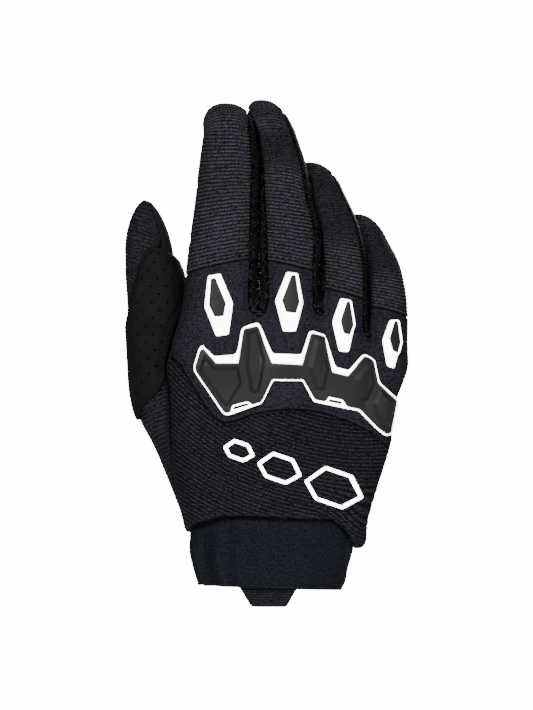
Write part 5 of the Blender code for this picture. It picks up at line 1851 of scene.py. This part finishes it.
@dataclass
class KnuckleGuard:
    """The white frame and the dark core over the knuckles."""

    middle: tuple[float, float] = (12.0, 97.5)
    size: tuple[float, float] = (94.0, 53.0)
    seat: float = 0.6
    frame_rise: float = 1.9
    core_rise: float = 2.8
    pad_rise: float = 1.5
    pad_bevel: float = 1.6
    sharp_from: float = 11.0

    def mould(self, name: str, loops: list[Array], lines: list[Array], pitch: float) -> Cloth:
        """A moulded face in the chart, with close rows of points along its edge."""
        rows = [inset(loops[0], 0.12), inset(loops[0], 0.35)]
        made = Cloth.filled(BACK, loops, pitch, [*rows, *lines])
        LOG.info("%s: %d points", name, len(made.points))
        return made

    def build(self, finishes: Finishes) -> None:
        """Makes the frame and the core."""
        place = {"size": self.size, "middle": self.middle}
        around = outline(KNUCKLE_OUTLINE, radius=1.1, **place)
        core = outline(CORE_OUTLINE, radius=0.7, **place)
        windows = [outline(window, radius=0.3, **place) for window in WINDOWS]
        cloth = self.mould("frame", [around, inset(core, -0.4), *windows], [], 0.7)
        height = self.frame_rise - shoulder(cloth.edge, 0.5)
        node = "knuckle_guard_frame"
        SHOP.lay("knuckle_guard_rim", cloth, height, 1.0, self.seat, finishes.white, node)
        pads = [outline(pad, radius=0.0, **place) for pad in PADS]
        tops = [inset(pad, self.pad_bevel) for pad in pads]
        cloth = self.mould("core", [inset(core, -0.3)], [*pads, *tops], 0.8)
        height = self.core_rise - shoulder(cloth.edge, 0.6)
        for pad in pads:
            rise = np.clip(distance(cloth.uv, [pad]) / self.pad_bevel, 0, 1)
            height = height + self.pad_rise * rise * inside(cloth.uv, [pad])
        node = "knuckle_guard_core"
        shell = SHOP.lay(
            "knuckle_guard_shell", cloth, height, 1.0, self.seat, finishes.dark, node
        )
        shell.data.set_sharp_from_angle(angle=math.radians(self.sharp_from))


@dataclass
class FingerGuard:
    """One finger's guard: a white sloped frame and a dark insert."""

    name: str
    middle: tuple[float, float]
    frame: Table
    insert: Table
    length: float = 29.0
    seat: float = 0.4
    edge_rise: float = 1.0
    top_rise: float = 2.6
    insert_rise: float = 2.2

    def build(self, finishes: Finishes) -> None:
        """Makes the frame and the insert."""
        size = (self.length, self.length)
        around = outline(self.frame, size, self.middle, 0.9)
        inner = outline(self.insert, size, self.middle, 0.5)
        lines = [inset(around, 0.15), inset(around, 0.4), inset(inner, -0.45)]
        cloth = Cloth.filled(BACK, [around, inner], 0.6, lines)
        far, near = distance(cloth.uv, [around]), distance(cloth.uv, [inner])
        slope = np.clip(far / np.maximum(far + near - 0.45, 1e-6), 0, 1)
        height = self.edge_rise + (self.top_rise - self.edge_rise) * slope - shoulder(far, 0.35)
        height = height - shoulder(near, 0.25)
        name, node = f"{self.name}_guard_rim", f"{self.name}_guard_frame"
        SHOP.lay(name, cloth, height, 1.0, self.seat, finishes.white, node)
        inner = inset(inner, 0.05)
        cloth = Cloth.filled(BACK, [inner], 0.7, [inset(inner, 0.25)])
        height = self.insert_rise - shoulder(cloth.edge, 0.3)
        name, node = f"{self.name}_guard_pad", f"{self.name}_guard_insert"
        SHOP.lay(name, cloth, height, 1.0, self.seat, finishes.dark, node)


FINGER_GUARDS = (
    FingerGuard(
        "index",
        (-24.0, 132.9),
        (
            (-0.172, 0.475), (0.027, 0.508), (0.225, 0.030), (0.158, -0.479), (-0.041, -0.508),
            (-0.227, -0.032),
        ),
        (
            (-0.116, 0.427), (-0.048, 0.433), (0.108, 0.030), (0.076, -0.181), (-0.065, -0.194),
            (-0.148, -0.008),
        ),
    ),
    FingerGuard(
        "middle",
        (9.1, 134.4),
        (
            (-0.042, 0.482), (0.138, 0.461), (0.219, -0.022), (0.101, -0.481), (-0.098, -0.481),
            (-0.221, 0.015),
        ),
        (
            (0.033, 0.417), (0.093, 0.417), (0.153, -0.011), (0.101, -0.189), (-0.048, -0.171),
            (-0.103, 0.015),
        ),
    ),
    FingerGuard(
        "ring",
        (34.4, 123.4),
        (
            (-0.040, 0.438), (0.122, 0.406), (0.178, -0.002), (0.084, -0.437), (-0.070, -0.424),
            (-0.177, 0.046),
        ),
        (
            (0.054, 0.369), (0.099, 0.369), (0.148, -0.002), (0.091, -0.169), (-0.003, -0.139),
            (-0.040, 0.059),
        ),
    ),
    FingerGuard(
        "little",
        (56.9, 114.5),
        (
            (-0.022, 0.390), (0.103, 0.379), (0.145, 0.006), (0.044, -0.391), (-0.072, -0.354),
            (-0.145, 0.056),
        ),
        (
            (0.041, 0.353), (0.086, 0.347), (0.119, 0.006), (0.075, -0.166), (0.002, -0.130),
            (-0.040, 0.056),
        ),
    ),
)


@dataclass
class Motif:
    """The printed mark on the back: a rising row of outlined hexagons, each smaller."""

    places: Table = ((31.0, 47.5, 1.0), (5.2, 56.6, 0.76), (-14.0, 64.8, 0.54))
    corners: Table = (
        (-15.0, 3.0), (-5.0, 10.0), (8.0, 5.5), (13.0, -5.0), (3.0, -10.5), (-10.0, -6.0),
    )
    stroke: float = 1.7
    lift: float = 0.15
    thickness: float = 0.35

    def build(self, finishes: Finishes) -> None:
        """Prints each hexagon."""
        for number, (x, z, scale) in enumerate(self.places):
            around = outline(self.corners, (scale, scale), (x, z), 1.0)
            inner = inset(around, self.stroke)
            cloth = Cloth.filled(BACK, [around, inner], 0.6)
            height = self.lift + self.thickness - shoulder(cloth.edge, 0.2)
            SHOP.lay(f"print_{number}", cloth, height, 1.0, -0.2, finishes.white)


def sew_seams(panels: HandPanels, thumb: ThumbPanels, finishes: Finishes) -> None:
    """Sews the topstitching above the finger seams and below the knuckle panel.

    Args:
        panels: The hand's panels, which hold the knuckle seam.
        thumb: The thumb's panels, which hold the patch.
        finishes: The glove's materials.
    """
    stitching = Stitching()
    lines = []
    for finger in FINGERS:
        low, high = finger.back
        angles = np.linspace(low + 6, high - 6, 40)
        heights = finger.seam_height(angles) + 2.3
        points = settle(hand_field, finger.limb.side_point(heights, angles), 6)
        lines.append((points, hand_field, 0.12))
    stitching.sew("finger_stitches", lines, finishes.thread)
    below = panels.seam[12:-6] - (0.0, 2.1)
    stitching.sew("knuckle_stitches", [(BACK.wrap(below), hand_field, 0.1)], finishes.thread)
    line = (thumb.patch_seam(), THUMB.field, thumb.patch_lift)
    stitching.sew("patch_stitches", [line], finishes.patch_thread)


@dataclass
class Studio:
    """The pale floor, the soft lights and the camera."""

    floor: float = -0.09
    floor_half: float = 0.6
    distance: float = 8.0
    middle: tuple[float, float] = (-0.0016, 0.1095)
    frame_height: float = 0.3337
    sensor: float = 36.0
    aim_height: float = 0.11
    pale: tuple[float, float, float] = (0.9, 0.9, 0.9)
    ambient: float = 0.6
    backdrop: float = 15.0
    lights: tuple[tuple[str, tuple[float, float, float], float, float], ...] = (
        ("key", (-0.35, -1.15, 0.62), 0.55, 150.0),
        ("fill", (0.75, -0.95, 0.20), 0.6, 55.0),
        ("back", (0.2, 1.2, 0.7), 0.8, 130.0),
    )

    def light(
        self, name: str, place: tuple[float, float, float], size: float, power: float
    ) -> None:
        """An area light that looks at the glove's middle."""
        data = bpy.data.lights.new(name, "AREA")
        data.shape = "DISK"
        data.size = size
        data.energy = power
        lamp = bpy.data.objects.new(name, data)
        lamp.location = place
        aim = Vector((0.0, 0.0, self.aim_height)) - Vector(place)
        lamp.rotation_euler = aim.to_track_quat("-Z", "Y").to_euler()
        bpy.context.scene.collection.objects.link(lamp)

    def lay_floor(self) -> None:
        """Makes the pale floor, which is no piece of the glove."""
        bm = bmesh.new()
        bmesh.ops.create_grid(bm, x_segments=1, y_segments=1, size=self.floor_half)
        bmesh.ops.translate(bm, verts=bm.verts, vec=(0, 0, self.floor))
        mesh = bpy.data.meshes.new("floor")
        bm.to_mesh(mesh)
        bm.free()
        ground = bpy.data.objects.new("floor", mesh)
        bpy.context.scene.collection.objects.link(ground)
        paint = bpy.data.materials.new("pale floor")
        paint.use_nodes = True
        shader = paint.node_tree.nodes["Principled BSDF"]
        shader.inputs["Base Color"].default_value = (*self.pale, 1.0)
        shader.inputs["Roughness"].default_value = 0.9
        mesh.materials.append(paint)

    def light_world(self) -> None:
        """Makes the soft light from all sides and the white that the camera sees behind."""
        world = bpy.data.worlds.new("studio")
        world.use_nodes = True
        nodes, links = world.node_tree.nodes, world.node_tree.links
        sky = nodes["Background"]
        sky.inputs["Color"].default_value = (1.0, 1.0, 1.0, 1.0)
        sky.inputs["Strength"].default_value = self.ambient
        paper = nodes.new("ShaderNodeBackground")
        paper.inputs["Color"].default_value = (1.0, 1.0, 1.0, 1.0)
        paper.inputs["Strength"].default_value = self.backdrop
        sight, both = nodes.new("ShaderNodeLightPath"), nodes.new("ShaderNodeMixShader")
        links.new(sight.outputs["Is Camera Ray"], both.inputs[0])
        links.new(sky.outputs["Background"], both.inputs[1])
        links.new(paper.outputs["Background"], both.inputs[2])
        links.new(both.outputs["Shader"], nodes["World Output"].inputs["Surface"])
        bpy.context.scene.world = world

    def place_camera(self) -> None:
        """Makes the camera, far away and level with the glove's middle."""
        camera = bpy.data.cameras.new("camera")
        camera.sensor_fit = "VERTICAL"
        camera.sensor_height = self.sensor
        camera.lens = self.sensor * self.distance / self.frame_height
        camera.clip_start = 0.05
        camera.clip_end = 50.0
        eye = bpy.data.objects.new("camera", camera)
        eye.location = (self.middle[0], -self.distance, self.middle[1])
        eye.rotation_euler = (math.pi / 2, 0.0, 0.0)
        bpy.context.scene.collection.objects.link(eye)
        bpy.context.scene.camera = eye

    def build(self) -> None:
        """Makes the floor, the world, the lights and the camera."""
        self.lay_floor()
        self.light_world()
        for light in self.lights:
            self.light(*light)
        self.place_camera()


def main() -> None:
    """Builds every sub-assembly in order and reports each piece."""
    logging.basicConfig(level=logging.INFO, format="%(name)s: %(message)s")
    Studio().build()
    finishes = Finishes()
    panels, thumb = HandPanels(), ThumbPanels()
    assemblies = [
        Cuff(),
        panels,
        *(FingerPanels(finger) for finger in FINGERS),
        *(Fourchette(index) for index in range(3)),
        thumb,
        KnuckleGuard(),
        *FINGER_GUARDS,
        Motif(),
    ]
    for assembly in assemblies:
        assembly.build(finishes)
    sew_seams(panels, thumb, finishes)
    for piece in SHOP.made:
        LOG.info("%s: %d faces", piece.name, len(piece.data.polygons))


if __name__ == "__main__":
    main()
